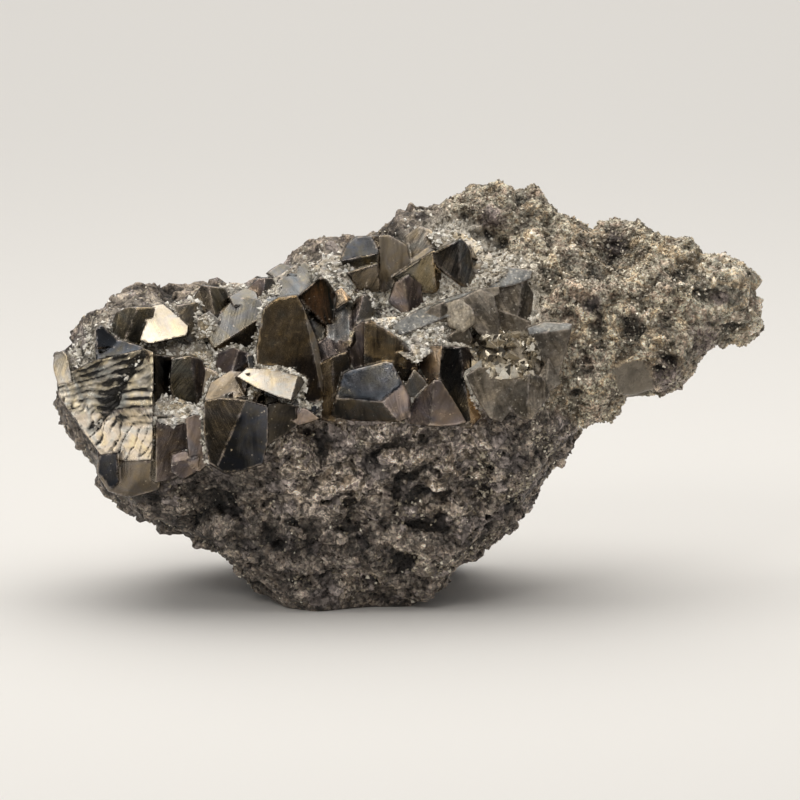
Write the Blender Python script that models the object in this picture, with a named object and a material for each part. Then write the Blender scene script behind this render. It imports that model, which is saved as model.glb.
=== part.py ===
# A tetrahedrite specimen: steel grey crystals grown together on a lump of broken ore.
# Units are metres; sizes below are written in millimetres and turned to metres by MM.
# The front faces -Y, +Z is up, and the origin is in the middle of the flat face that it rests on.
#
# Points are written as a collector would measure them from the front: how far across, how far up
# and how far back. The front is looked at from a little above level, so a point further back
# stands a little lower than it seems to; seen() works that out.

import math
import random

import bmesh
import bpy
from mathutils import Vector, noise
from mathutils.geometry import delaunay_2d_cdt

MM = 0.001

# How the specimen is looked at, and where its origin lies in those measures
VIEW_DROP = math.radians(10)
ORIGIN_ACROSS = -11.0
ORIGIN_BACK = 27.0

# The rock's outline from the front, clockwise from the left end of its foot: (across, up)
ROCK_OUTLINE = [
    (-23.0, 0.4), (-27.6, 4.3), (-33.0, 7.8), (-37.6, 11.4), (-42.4, 14.3), (-47.6, 17.2),
    (-54.6, 20.2), (-58.8, 23.1), (-61.4, 27.2), (-63.4, 31.9), (-65.8, 34.8), (-69.3, 38.4),
    (-70.8, 41.8), (-69.9, 46.0), (-70.8, 49.5), (-69.6, 52.4), (-67.2, 53.6), (-65.5, 56.6),
    (-64.0, 60.0), (-60.0, 61.8), (-59.6, 63.8), (-51.7, 65.6), (-42.4, 65.6), (-36.4, 66.5),
    (-30.6, 66.5), (-25.9, 68.6), (-23.2, 70.0), (-21.8, 72.4), (-18.8, 74.2), (-8.3, 74.7),
    (-6.0, 76.5), (-3.6, 80.0), (-1.2, 82.6), (2.8, 82.0), (5.6, 83.9), (9.7, 84.8),
    (29.6, 83.4), (33.2, 81.1), (39.8, 77.8), (45.8, 77.8), (51.0, 75.2), (55.8, 75.3),
    (57.4, 76.6), (59.8, 76.0), (61.0, 73.7), (66.6, 72.0), (72.5, 68.2), (72.9, 66.4),
    (71.9, 61.4), (72.6, 60.5), (71.0, 55.8), (64.6, 52.9), (63.1, 50.6), (57.8, 45.8),
    (53.1, 42.2), (49.6, 42.8), (46.0, 41.6), (35.8, 36.4), (32.8, 31.5), (29.0, 25.8),
    (20.6, 17.0), (15.6, 9.6), (12.8, 8.2), (6.0, 3.6), (0.2, 0.8), (-6.0, -1.4), (-19.0, -1.6),
]

# How far back the rock's front, rim and back lie, at chosen places: (across, up, back)
FRONT_DEPTHS = [
    (-12, 0, 0), (-12, 18, -5), (-40, 22, -2), (14, 20, -3), (-55, 30, 0), (-30, 35, -8),
    (0, 36, -8), (22, 36, -5), (-50, 42, -3), (-22, 46, -2), (8, 48, -1), (-60, 50, 6),
    (-40, 57, 7), (-14, 60, 6), (12, 61, 6), (-45, 64, 20), (-20, 70, 20), (4, 79, 27),
    (24, 80, 26), (22, 66, 14), (36, 44, 3), (38, 60, 7), (50, 50, 5), (54, 64, 12),
    (66, 62, 15), (44, 74, 24), (58, 73, 22),
]
RIM_DEPTHS = [
    (-14, 0, 3), (-40, 14, 10), (-60, 27, 12), (-71, 44, 16), (-64, 60, 24), (-42, 66, 30),
    (-20, 74, 32), (6, 84, 36), (30, 83, 34), (52, 75, 30), (73, 63, 24), (56, 44, 14),
    (33, 32, 10), (10, 6, 8),
]
BACK_DEPTHS = [
    (-12, 2, 52), (-30, 16, 52), (6, 14, 50), (-50, 34, 44), (-66, 46, 30), (-30, 50, 50),
    (10, 44, 48), (-10, 66, 47), (20, 74, 46), (40, 52, 36), (40, 70, 42), (64, 62, 33),
]
FIELD_REACH = 5.0
RIM_ROUND = 9.0

# The grid of points that the front and back are laid out on: its step and its extent
GRID_STEP = 3.0
GRID_LEFT, GRID_RIGHT, GRID_TOP = -73.0, 75.0, 86.0

# Places where the front is sunk or raised: (across, up, radius, how far it stands out)
ROCK_SPOTS = [
    (16.5, 75.4, 4.6, -7.0), (20.5, 74.6, 3.6, -4.0), (1.8, 55.8, 3.0, -5.0), (24.6, 69.6, 2.4, -2.5),
    (-9.6, 5.6, 3.4, -2.6), (-17.0, 12.4, 4.2, -3.0), (-8.0, 18.6, 3.0, -2.4), (50.0, 50.6, 3.0, -2.2),
    (-26.0, 21.4, 7.0, -2.0), (-38.0, 24.0, 6.0, -1.6), (8.0, 26.0, 6.0, 1.6), (-22.0, 27.0, 7.0, 1.8),
    (58.6, 72.0, 3.6, 2.6), (65.0, 69.4, 1.8, 1.4), (48.0, 73.0, 4.0, 1.4), (69.0, 58.4, 3.4, 1.6),
    (-52.0, 62.0, 5.0, 1.6), (-14.0, 71.6, 5.0, 1.6), (28.0, 77.0, 5.0, 1.2), (36.0, 40.0, 4.0, -1.6),
]
SPOT_EDGE, SPOT_FALL = 1.6, 2.2
TURNED_BACK = 0.2

# The rock's roughness and its mesh
LUMP_SIZE, LUMP_HEIGHT, LUMP_OCTAVES = 13.0, 1.9, 3
CHIP_SIZE, CHIP_HEIGHT = 4.6, 1.5
LEDGE_PITCH, LEDGE_HEIGHT = 5.2, 0.9
LEDGE_TOP, LEDGE_FADE = 34.0, 10.0
LEDGE_SLOPE, LEDGE_WAVE, LEDGE_WAVE_SIZE = 0.25, 3.0, 16.0
VOXEL = 1.1
ROCK_TRIANGLES = 2040

# A crystal's hidden root: how deep it goes, how much it widens on the way, and the room kept round it
ROOT_DEPTH = 9.0
ROOT_FLARE = 0.1
FRONT_REACH = 14.0
SOCKET_GAP = 0.35
FLAT_WITHIN = math.radians(0.3)

# Small crystals: their corners' reach as a share of the size, how they lean, how sharply their two
# faces meet, and how far they stand above their bed
SMALL_REACH = (0.8, 1.2)
SMALL_LEAN_ACROSS, SMALL_LEAN_UP = (-0.9, 0.9), (-0.1, 0.9)
SMALL_FOLD, SMALL_FALL = 1.3, 0.6
SMALL_RISE = (0.6, 1.8)

# Colours: linear red, green and blue, then how metallic and how rough
STEEL_GREY = ((0.30, 0.29, 0.27), 1.0, 0.22)
DULL_GREY = ((0.26, 0.24, 0.21), 0.8, 0.45)
ORE_BROWN = ((0.20, 0.18, 0.17), 0.25, 0.65)


def crystal(outline, proud, lean, *others):
    """A crystal, as seen from the front.

    outline: its corners, (across, up). proud: how far its main face stands out of the rock.
    lean: how much further back the main face lies for each millimetre across and up.
    others: its other faces, each (across, up, lean across, lean up), where across and up give
    a place on the edge that it shares with the main face.
    """
    return {"outline": outline, "proud": proud, "lean": lean, "others": others}


def distance_to(outline, point):
    """How far a place is inside the outline; below zero outside it."""
    nearest, inside = 1e9, False
    for a, b in zip(outline, outline[1:] + outline[:1]):
        edge = b - a
        t = min(1.0, max(0.0, (point - a).dot(edge) / edge.length_squared))
        nearest = min(nearest, (point - a - edge * t).length)
        if (a.y > point.y) != (b.y > point.y):
            crossing = a.x + (point.y - a.y) / (b.y - a.y) * (b.x - a.x)
            if point.x < crossing:
                inside = not inside
    return nearest if inside else -nearest


def small_crystals(label, bed, count, size, seed):
    """A bed with small three-sided crystals scattered over it."""
    chance = random.Random(seed)
    low = [min(corner[axis] for corner in bed["outline"]) for axis in (0, 1)]
    high = [max(corner[axis] for corner in bed["outline"]) for axis in (0, 1)]
    grown = {label: bed}
    while len(grown) <= count:
        middle = Vector(chance.uniform(*span) for span in zip(low, high))
        if distance_to([Vector(corner) for corner in bed["outline"]], middle) < 0.2 * size:
            continue
        turn = chance.uniform(0, math.tau)
        corners = []
        for _ in range(3):
            reach = size * chance.uniform(*SMALL_REACH)
            corners.append(tuple(middle + Vector((math.cos(turn), math.sin(turn))) * reach))
            turn += math.tau / 3
        lean = (chance.uniform(*SMALL_LEAN_ACROSS), chance.uniform(*SMALL_LEAN_UP))
        fold = chance.choice((-SMALL_FOLD, SMALL_FOLD))
        edge = (middle.x, middle.y, lean[0] + fold, lean[1] - SMALL_FALL)
        proud = bed["proud"] + chance.uniform(*SMALL_RISE)
        grown[f"{label}_{len(grown)}"] = crystal(corners, proud, lean, edge)
    return grown


LEFT_CRYSTALS = {
    "cleaved": crystal(
        [(-68, 45.6), (-65.4, 47.4), (-60.6, 49.6), (-51.4, 51.8), (-49.6, 51.2), (-49.8, 39.2),
         (-50, 31.2), (-55, 31), (-59.6, 32.4), (-63.6, 38.6), (-67.4, 43)],
        5.0, (-0.55, 0.4), (-49.6, 40.8, -0.5, -0.12)),
    "pale_end": crystal(
        [(-68.8, 51), (-67.4, 51.6), (-66.8, 50.8), (-65.7, 46.4), (-68.2, 46.2), (-68.7, 49)],
        2.5, (-0.9, 0.3)),
    "blue_wedge": crystal(
        [(-60.4, 53.4), (-57, 54), (-53.6, 53.4), (-51.6, 52.8), (-57.6, 50.4), (-60, 49.8)],
        3.0, (-0.1, 0.75)),
    "dark_fin": crystal(
        [(-60.4, 56.2), (-59.4, 56.8), (-56.2, 53.6), (-60.2, 53)], 3.0, (0.5, 0.3)),
    "olive_dome": crystal(
        [(-57.4, 57.4), (-56.4, 59.6), (-54.2, 60.4), (-49.6, 60.6), (-50.6, 57), (-51.8, 54.4),
         (-55, 54), (-57, 56)],
        2.0, (0.1, 0.1), (-54, 57, -0.5, 0.35)),
    "cream_plate": crystal(
        [(-49.2, 60.8), (-47.4, 61), (-44.8, 58.4), (-43, 57.2), (-43.2, 55.6), (-49.4, 54.2),
         (-51.4, 54.8)],
        6.4, (-0.15, 0.95)),
    "brown_wall": crystal(
        [(-44.6, 60.8), (-40.6, 61.6), (-40.1, 55), (-42.4, 54.4), (-43.2, 55.4)],
        1.4, (0.15, 0.25)),
    "lit_rim": crystal(
        [(-50, 54.2), (-42.8, 54.4), (-40, 53.4), (-37.2, 51.4), (-35.8, 48.8), (-40, 49.4),
         (-44.8, 49), (-49.6, 50.6)],
        2.0, (0.05, 1.15)),
    "hollow_wall": crystal(
        [(-49.6, 51), (-45, 50.4), (-44.8, 46), (-46, 42.6), (-49.4, 42.4)], 2.0, (0.7, 0.1)),
    "olive_block": crystal(
        [(-45, 50), (-42, 50.6), (-39.6, 49.8), (-38.8, 45.4), (-39.2, 41.8), (-40.8, 39.8),
         (-44, 41.2), (-45.2, 45)],
        4.5, (0.12, 0.02), (-41, 47, 0.6, 0.1)),
    "lit_foot": crystal(
        [(-50, 42.6), (-46, 43), (-41, 41), (-39.6, 40.6), (-41, 39), (-45, 37.8), (-49.8, 39.2)],
        4.0, (0.0, 0.9)),
    "gold_face": crystal(
        [(-39, 48.6), (-36.6, 47.4), (-35, 45.2), (-35.4, 42), (-39, 41.6)], 3.5, (-0.2, 0.25)),
    "brown_prism": crystal(
        [(-50, 39), (-48.4, 38.8), (-42, 38.4), (-40.8, 34.4), (-41.8, 29), (-45.6, 27.2),
         (-48.4, 26.6), (-49.9, 27.6)],
        6.0, (0.1, -0.05), (-48.4, 34, -1.5, -0.05)),
    "striated_prism": crystal(
        [(-42.2, 38.2), (-40.6, 38.9), (-39.1, 38.4), (-37.9, 35.6), (-37.6, 31.4), (-40, 28.6),
         (-41.6, 30.4)],
        5.0, (0.3, -0.1)),
    "small_dark": crystal(
        [(-44.9, 31.2), (-42.8, 31.8), (-40.2, 30.8), (-40.8, 28.6), (-43, 27.2), (-45, 28.4)],
        7.0, (0.1, -0.35), (-43, 30.4, -0.1, 0.7)),
    "dull_block": crystal(
        [(-59.8, 32), (-50, 31.4), (-48.4, 27.2), (-48.6, 24.8), (-54, 23.6), (-57.8, 24.6),
         (-59.8, 27.6)],
        4.0, (-0.3, -0.15), (-53, 30.4, -0.2, 0.8)),
    "blue_chip": crystal(
        [(-59.6, 31), (-56.6, 31.4), (-56.4, 26.6), (-57.6, 25.2), (-59.6, 28)],
        5.0, (-0.6, -0.05)),
}
FRONT_CRYSTALS = {
    "dark_wedge": crystal(
        [(-38.2, 41.8), (-35, 42.2), (-30.8, 41.8), (-26.6, 40.8), (-26.8, 34.4), (-27.6, 30.2),
         (-30.8, 29.2), (-34.4, 28.6), (-37.4, 30.4), (-38.2, 36.4)],
        6.5, (-0.25, 0.1), (-30.8, 41.6, 0.3, -0.14)),
    "dark_quad": crystal(
        [(-26.6, 40.8), (-24, 41.4), (-21, 40.8), (-21, 37.4), (-26.8, 33.4)], 5.5, (0.4, -0.1)),
    "bright_slab": crystal(
        [(-29.8, 48.4), (-25, 47.9), (-20.2, 46.8), (-19.6, 46), (-22, 42.9), (-25.4, 44.4),
         (-31.7, 47)],
        7.0, (-0.1, 1.25), (-20.8, 45.4, 1.2, 0.9)),
    "slab_base": crystal(
        [(-28, 45), (-22, 43.4), (-19.6, 45.4), (-20.6, 41.8), (-21.2, 40.9), (-24.4, 40.2),
         (-28, 41.6)],
        5.0, (0.1, 0.5)),
    "purple_knob": crystal(
        [(-35.8, 51.4), (-33, 52.2), (-30.6, 51.4), (-29.7, 49.2), (-30.4, 47), (-32.4, 46.2),
         (-34.6, 46.8), (-36.2, 49)],
        4.5, (0.1, 0.2), (-33, 49.6, -0.6, 0.4), (-32, 49, 0.5, -0.4)),
    "splinter": crystal(
        [(-20.8, 40.6), (-19, 40.2), (-16.5, 38.8), (-20, 38), (-21, 38.6)], 5.5, (0.2, 0.6)),
    "shadow_face": crystal(
        [(-20.8, 43.4), (-17.6, 43.6), (-16.6, 42), (-16.4, 39.6), (-20.8, 40.6)], 4.0, (0.2, 0.1)),
    "green_chip": crystal(
        [(-30, 51), (-27.6, 51.4), (-25, 49.8), (-26, 48.4), (-29.4, 48.6)], 3.0, (0.3, 0.5)),
}
UPPER_LEFT_CRYSTALS = {
    "slab": crystal(
        [(-38, 55.4), (-37.4, 57.2), (-34.8, 60), (-33.4, 61.6), (-30.4, 62.4), (-28.2, 61.8),
         (-27.4, 59), (-26.2, 58), (-26, 55.6), (-27.6, 53.2), (-32, 52.2), (-36, 52)],
        5.0, (0.25, -0.25), (-31.6, 56.4, -0.5, 0.9)),
    "leaf": crystal(
        [(-40.6, 63), (-39.4, 64.9), (-35.6, 64.4), (-34.2, 62), (-37, 60), (-39, 59.8)],
        3.0, (-0.4, 0.3), (-37.6, 62.4, 0.6, 0.5)),
    "step": crystal(
        [(-33.6, 63), (-31, 64.2), (-29.4, 63.8), (-28.8, 62), (-32.8, 61.6)], 2.5, (0.0, 1.0)),
    "brown_lump": crystal(
        [(-30.2, 64.4), (-28.4, 66.2), (-26, 66.4), (-24.8, 64.4), (-25.4, 62), (-27.6, 60.8),
         (-29.8, 62)],
        3.0, (-0.3, 0.3), (-27.4, 63.6, 0.5, 0.2)),
    "pale_sliver": crystal(
        [(-26.2, 68), (-23.8, 69.2), (-21.3, 69), (-21.5, 67.5), (-24.2, 67.3)], 3.0, (0.0, 0.8)),
    "socket_wall": crystal(
        [(-40, 58.4), (-38.2, 59.6), (-36.6, 58.2), (-38, 55.6), (-40, 55)], 2.5, (0.3, 0.2)),
}
MIDDLE_CRYSTALS = {
    "grey_roof": crystal(
        [(-26, 64.6), (-19.4, 69.8), (-15.4, 66.2), (-20.6, 62.2), (-24, 61.6), (-26.6, 62)],
        4.0, (0.1, 0.8)),
    "tall_face": crystal(
        [(-26.8, 60.4), (-24, 62.2), (-20.6, 62.6), (-19.2, 60), (-17, 53.4), (-15.8, 48),
         (-15.8, 42.8), (-20, 42), (-27.6, 47.6), (-28, 52)],
        6.5, (-0.15, 0.1), (-17.6, 53.4, 1.5, 0.45)),
    "dark_pentagon": crystal(
        [(-20.6, 62.4), (-15.8, 66.4), (-14.6, 65.6), (-13.2, 63), (-13.4, 59), (-14.4, 57.2),
         (-16.6, 58), (-19.6, 60)],
        6.0, (0.1, -0.1), (-18, 60.4, -0.5, -0.7)),
    "grey_chip": crystal(
        [(-19.6, 60.2), (-14.4, 57.6), (-13.8, 55.8), (-17.2, 54.2), (-18.8, 56.8)],
        4.5, (0.2, 0.4)),
    "blue_fan": crystal(
        [(-14.2, 57.2), (-13.2, 60.8), (-11.2, 62.2), (-8.8, 62.2), (-7.8, 58.8), (-9.2, 56),
         (-11.4, 54), (-14.4, 55.6)],
        4.0, (0.1, 0.5)),
    "brown_tooth": crystal(
        [(-13.4, 63.2), (-11.8, 64.3), (-10.2, 62.6), (-12.8, 60.8)], 4.5, (-0.2, 0.4)),
    "tan_ridge": crystal(
        [(-8.8, 62), (-6.8, 63), (-5.4, 60.4), (-6.8, 57.6), (-9.6, 53.4), (-11.2, 54)],
        4.5, (0.6, 0.2), (-8.6, 58, -0.5, 0.5)),
    "dark_cap": crystal(
        [(-16.6, 53.2), (-14.4, 54.6), (-11, 53.6), (-10.8, 51.6), (-13.4, 49.8), (-16.2, 48.6)],
        4.5, (0.0, 0.4)),
    "gold_blade": crystal(
        [(-16.2, 48.8), (-13.4, 50.4), (-10.8, 51.4), (-10.2, 50), (-10.7, 46), (-11.6, 42.4),
         (-12.8, 38.6), (-15.8, 39), (-16.5, 42.8)],
        5.5, (-0.35, 0.05), (-13.2, 45, 0.5, 0.1)),
    "brown_panel": crystal(
        [(-10.8, 53.6), (-10, 55.6), (-7.6, 57.6), (-6.2, 56.4), (-6.2, 50), (-6.8, 47.8),
         (-10.6, 47.4)],
        4.0, (-0.3, 0.1)),
    "gold_shield": crystal(
        [(-6.8, 57.4), (-5.4, 57.8), (-3, 55.4), (0, 53.8), (2.8, 51), (3, 48), (2, 45),
         (1.2, 42.8), (-3, 44), (-6.6, 48.6)],
        4.5, (0.0, 0.2), (0, 49, -0.1, -0.12)),
    "blue_front": crystal(
        [(-10.8, 47.2), (-9.6, 47.8), (-6.4, 47.9), (-3, 49.5), (-1.9, 49.2), (-0.6, 46),
         (0.2, 43), (1.4, 43.2), (1.5, 39.4), (-1, 38.5), (-10, 38.8), (-13.2, 39.6),
         (-12.2, 42.4)],
        6.5, (-0.05, 0.35), (-3.6, 42, -0.15, -0.85), (-3.6, 42, 0.5, -0.3)),
    "dark_step": crystal(
        [(0.2, 43), (2.8, 48.2), (4.8, 45.6), (6, 43.2), (1.6, 40.4)], 4.0, (0.0, 0.1)),
    "sparkle_ledge": crystal(
        [(-5.8, 58), (-3, 54.6), (0, 52.2), (3.2, 50.4), (5, 51.8), (8, 55), (8.2, 57), (-1, 58.6)],
        3.5, (0.0, 0.9)),
    "striped_block": crystal(
        [(3, 51.2), (4.8, 52.3), (8, 52.6), (13.4, 52.2), (14.8, 48.8), (17.2, 44), (17.5, 40.4),
         (13.6, 37.4), (12, 37.6), (9, 42)],
        5.0, (0.03, 0.03), (8, 50, -1.05, 0.15), (12.9, 46, 0.85, 0.15)),
    "pink_tetrahedron": crystal(
        [(6.8, 45.8), (8, 45.6), (11, 40.6), (12.7, 38.2), (8, 37.8), (2.2, 38), (1.8, 39.4),
         (3.6, 42.4)],
        7.0, (0.35, 0.15), (6.4, 42, -0.7, 0.2)),
}
RIGHT_CRYSTALS = {
    "olive_knuckle": crystal(
        [(5, 58.8), (6.4, 60.4), (8.6, 61.4), (11, 57.4), (10.6, 54.6), (8, 53.2), (5.4, 55)],
        4.0, (-0.3, 0.1), (8, 57.4, 0.5, 0.1)),
    "dull_pentagon": crystal(
        [(9.2, 61.2), (12, 62), (14, 60.2), (14.6, 58), (12.4, 56.4), (10.2, 57.4)],
        5.0, (-0.2, 0.4)),
    "dull_kite": crystal(
        [(12, 62), (16, 64), (18.4, 62.8), (19.4, 58), (18.9, 54), (16, 56), (13.6, 58.6)],
        5.0, (0.1, 0.35)),
    "dull_peak": crystal(
        [(18.2, 63), (21, 65.6), (24.8, 66.2), (26.2, 63.4), (25.6, 57), (22, 58.2), (19.4, 60)],
        4.5, (0.1, 0.4), (24, 62, 0.8, 0.3)),
    "peak_front": crystal(
        [(19.2, 60.4), (22, 59), (25.6, 58), (25, 55.4), (21, 55), (19, 56.4)], 3.5, (0.0, 0.1)),
    "knuckle_foot": crystal(
        [(8, 53.6), (10.6, 55), (13, 57), (14, 54.4), (12.6, 52.4), (9, 52)], 3.5, (0.2, 0.3)),
    "shallow_shield": crystal(
        [(13.6, 47), (16, 48.4), (21, 47.8), (24.4, 45.6), (22.6, 42), (20, 38.6), (18, 39.4),
         (15.8, 43)],
        4.5, (0.0, 0.05), (19, 44, 0.35, 0.0)),
    "low_tetrahedron": crystal(
        [(20.6, 43), (23.6, 45.8), (26, 47.2), (28.2, 46.2), (29.2, 43.4), (26, 39.2), (23.6, 39.6)],
        5.5, (-0.45, 0.2), (25.4, 43.4, 0.6, 0.15)),
    "big_triangle": crystal(
        [(25.8, 56.4), (29, 57.4), (34, 57.2), (32.6, 53), (31.4, 47.6), (29, 50.2), (27, 53)],
        5.0, (0.1, 0.1), (30, 56, 0.0, 0.9)),
    "small_triangle": crystal(
        [(27.2, 45.8), (29.6, 50.2), (31.6, 46), (29.8, 44.8)], 4.5, (-0.3, 0.2), (29.6, 48, 0.5, 0.2)),
    "long_plate": crystal(
        [(-1.4, 56.4), (0, 58.2), (8, 61.6), (16, 64.4), (19.2, 64.8), (19.2, 63.2), (14, 61.4),
         (6, 57.8), (1, 55.6)],
        3.5, (0.0, 0.95)),
    "upper_plate": crystal(
        [(13, 65.4), (16, 67.6), (20, 68.6), (26, 68.2), (25.6, 66.6), (20, 65.4), (14, 64.6)],
        3.0, (0.0, 0.9)),
}
REAR_CRYSTALS = {
    "blue_block": crystal(
        [(-11.6, 70), (-10.4, 73), (-8.8, 74.6), (-6, 74.8), (-4.8, 72), (-4.8, 69), (-8, 67.6),
         (-10.4, 67.8)],
        4.5, (0.0, -0.05), (-8, 71, -0.15, 0.7)),
    "dark_heel": crystal(
        [(-10.2, 67.6), (-4.8, 69.2), (-4.3, 64.6), (-7.6, 64.2)], 4.5, (0.1, -0.2)),
    "striped_slab": crystal(
        [(-5.6, 74.8), (-2, 74.8), (1, 73), (1.3, 70), (0, 67), (-3, 63.6), (-4.6, 64.2)],
        5.5, (0.2, 0.15), (-4, 70, -0.8, 0.1)),
    "dark_gable": crystal(
        [(-0.8, 67), (6.6, 71.8), (7.4, 70), (8.2, 65.2), (6.4, 64.2), (3, 64.6)],
        5.0, (0.05, -0.15), (6.6, 69.4, 1.2, 0.0)),
    "gable_roof": crystal(
        [(-0.2, 68.8), (6.2, 73.4), (9.2, 74.8), (7.2, 71.2), (0.4, 67)], 5.0, (-0.2, 0.9)),
    "dark_crown": crystal(
        [(7, 71.4), (12, 74), (13.4, 72.4), (15, 66), (13, 65.2), (10.8, 67), (8, 69)],
        5.0, (0.1, -0.05), (12, 69, 0.9, 0.0)),
    "lit_knob": crystal(
        [(1.4, 75.2), (4, 77), (6, 76.2), (7, 73), (4, 70.4), (1.4, 71.4)],
        3.5, (-0.45, 0.6)),
    "purple_lump": crystal(
        [(-1.8, 62.2), (-0.6, 65.4), (1.6, 66.8), (3.8, 65), (4.2, 61.8), (1, 60)],
        4.0, (-0.2, 0.2), (1.2, 63.6, 0.5, 0.3)),
}

# The beds of small crystals: each in a hollow or on a step between the large ones
VUG_BED = crystal(
    [(14, 50), (15, 55), (20, 56.6), (26, 57), (28, 52), (27, 46.4), (20, 46.2), (15, 47.4)],
    -0.5, (0.0, 0.35))
STEP_BED = crystal(
    [(-38.4, 42), (-37, 45.6), (-33.6, 47.6), (-30, 47.4), (-27.4, 44.4), (-27.6, 41.4)],
    3.6, (0.05, 0.95))
SADDLE_BED = crystal(
    [(-17, 68.4), (-14, 71), (-11, 70.6), (-7.6, 65.4), (-5.4, 62), (-8, 61.4), (-13, 63.6)],
    1.5, (0.0, 0.9))
REAR_BED = crystal(
    [(6, 75), (9.4, 76.4), (14, 74.6), (17, 70), (21, 69), (15, 65.6), (12, 70)],
    1.0, (0.0, 0.9))
FRONT_CRYSTALS.update(small_crystals("step", STEP_BED, 5, 1.7, seed=5))
RIGHT_CRYSTALS.update(small_crystals("vug", VUG_BED, 10, 2.1, seed=11))
REAR_CRYSTALS.update(small_crystals("saddle", SADDLE_BED, 5, 1.8, seed=8))
REAR_CRYSTALS.update(small_crystals("crown_side", REAR_BED, 4, 1.7, seed=2))
CLUSTERS = {
    "left_crystals": LEFT_CRYSTALS,
    "front_crystals": FRONT_CRYSTALS,
    "upper_left_crystals": UPPER_LEFT_CRYSTALS,
    "middle_crystals": MIDDLE_CRYSTALS,
    "right_crystals": RIGHT_CRYSTALS,
    "rear_crystals": REAR_CRYSTALS,
}


def seen(across, up, back):
    """A point of the specimen, in metres, from how far across, up and back it is seen."""
    height = (up - back * math.sin(VIEW_DROP)) / math.cos(VIEW_DROP)
    return Vector((across - ORIGIN_ACROSS, back - ORIGIN_BACK, height)) * MM


def clear_scene():
    for thing in list(bpy.data.objects):
        bpy.data.objects.remove(thing)


def make_material(name, colour, metallic, roughness):
    material = bpy.data.materials.new(name)
    material.use_nodes = True
    shader = material.node_tree.nodes["Principled BSDF"]
    shader.inputs["Base Color"].default_value = (*colour, 1.0)
    shader.inputs["Metallic"].default_value = metallic
    shader.inputs["Roughness"].default_value = roughness
    material.diffuse_color = (*colour, 1.0)
    return material


def object_from(name, bm):
    mesh = bpy.data.meshes.new(name)
    bm.to_mesh(mesh)
    bm.free()
    thing = bpy.data.objects.new(name, mesh)
    bpy.context.scene.collection.objects.link(thing)
    return thing


def keep_evaluated(thing):
    """Swaps an object's mesh for what its modifiers make of it."""
    graph = bpy.context.evaluated_depsgraph_get()
    made = bpy.data.meshes.new_from_object(thing.evaluated_get(graph))
    thing.modifiers.clear()
    thing.data = made


def depth_at(controls, across, up):
    """The depth at a place, from chosen places near it."""
    total, weight_sum = 0.0, 0.0
    for x, z, back in controls:
        weight = 1.0 / ((across - x) ** 2 + (up - z) ** 2 + FIELD_REACH**2) ** 2
        total += weight * back
        weight_sum += weight
    return total / weight_sum


def resampled(outline, step):
    """The closed outline with a point at least every step."""
    points = []
    for start, end in zip(outline, outline[1:] + outline[:1]):
        a, b = Vector(start), Vector(end)
        parts = max(1, math.ceil((b - a).length / step))
        points += [a.lerp(b, i / parts) for i in range(parts)]
    return points


def rock_shell():
    """The lump as two sheets, front and back, that meet along its outline."""
    rim = resampled(ROCK_OUTLINE, GRID_STEP)
    inner = []
    row, row_height = 0, GRID_STEP * math.sqrt(3) / 2
    while row * row_height < GRID_TOP:
        across = GRID_LEFT + (row % 2) * GRID_STEP / 2
        while across < GRID_RIGHT:
            place = Vector((across, row * row_height))
            if distance_to(rim, place) > GRID_STEP / 2:
                inner.append(place)
            across += GRID_STEP
        row += 1
    edges = [(i, (i + 1) % len(rim)) for i in range(len(rim))]
    places, _, faces = delaunay_2d_cdt(rim + inner, edges, [], 1, 1e-4)[:3]

    bm = bmesh.new()
    front, back = [], []
    for place in places:
        inside = max(0.0, distance_to(rim, place))
        share = min(1.0, inside / RIM_ROUND)
        share = math.sqrt(1 - (1 - share) ** 2)
        depths = [depth_at(field, *place) for field in (FRONT_DEPTHS, RIM_DEPTHS, BACK_DEPTHS)]
        near = depths[1] + (depths[0] - depths[1]) * share
        front.append(bm.verts.new(seen(*place, near)))
        if inside < 1e-3:
            back.append(front[-1])
        else:
            far = depths[1] + (depths[2] - depths[1]) * share
            back.append(bm.verts.new(seen(*place, far)))
    for face in faces:
        bm.faces.new([front[i] for i in face])
        bm.faces.new([back[i] for i in reversed(face)])
    bmesh.ops.recalc_face_normals(bm, faces=bm.faces)
    return object_from("matrix", bm)


def roughness_at(point, normal):
    """How far the rock stands out at a point, in millimetres: lumps, chips and bedded ledges."""
    place = point / MM
    lump = noise.fractal(place / LUMP_SIZE, 1.0, 2.0, LUMP_OCTAVES) * LUMP_HEIGHT
    cell = noise.voronoi(place / CHIP_SIZE)[0]
    chip = (0.5 - cell[0]) * CHIP_HEIGHT
    wave = noise.noise(place / LEDGE_WAVE_SIZE) * LEDGE_WAVE
    bed = (place.z + LEDGE_SLOPE * place.x + wave) / LEDGE_PITCH
    tooth = bed - math.floor(bed)
    low = min(1.0, max(0.0, (LEDGE_TOP - place.z) / LEDGE_FADE))
    ledge = (tooth - 0.5) * LEDGE_HEIGHT * low * max(0.0, -normal.y)
    return lump + chip + ledge


def spots_at(point, normal):
    """How far the named pits and knobs of the front move a point, in millimetres."""
    if normal.y > TURNED_BACK:
        return 0.0
    moved = 0.0
    for across, up, radius, out in ROCK_SPOTS:
        centre = seen(across, up, depth_at(FRONT_DEPTHS, across, up))
        offset = (point - centre) / MM
        near = math.hypot(offset.x, offset.z) / radius
        if near < SPOT_EDGE:
            moved += out * math.exp(-SPOT_FALL * near**2)
    return moved


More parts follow.
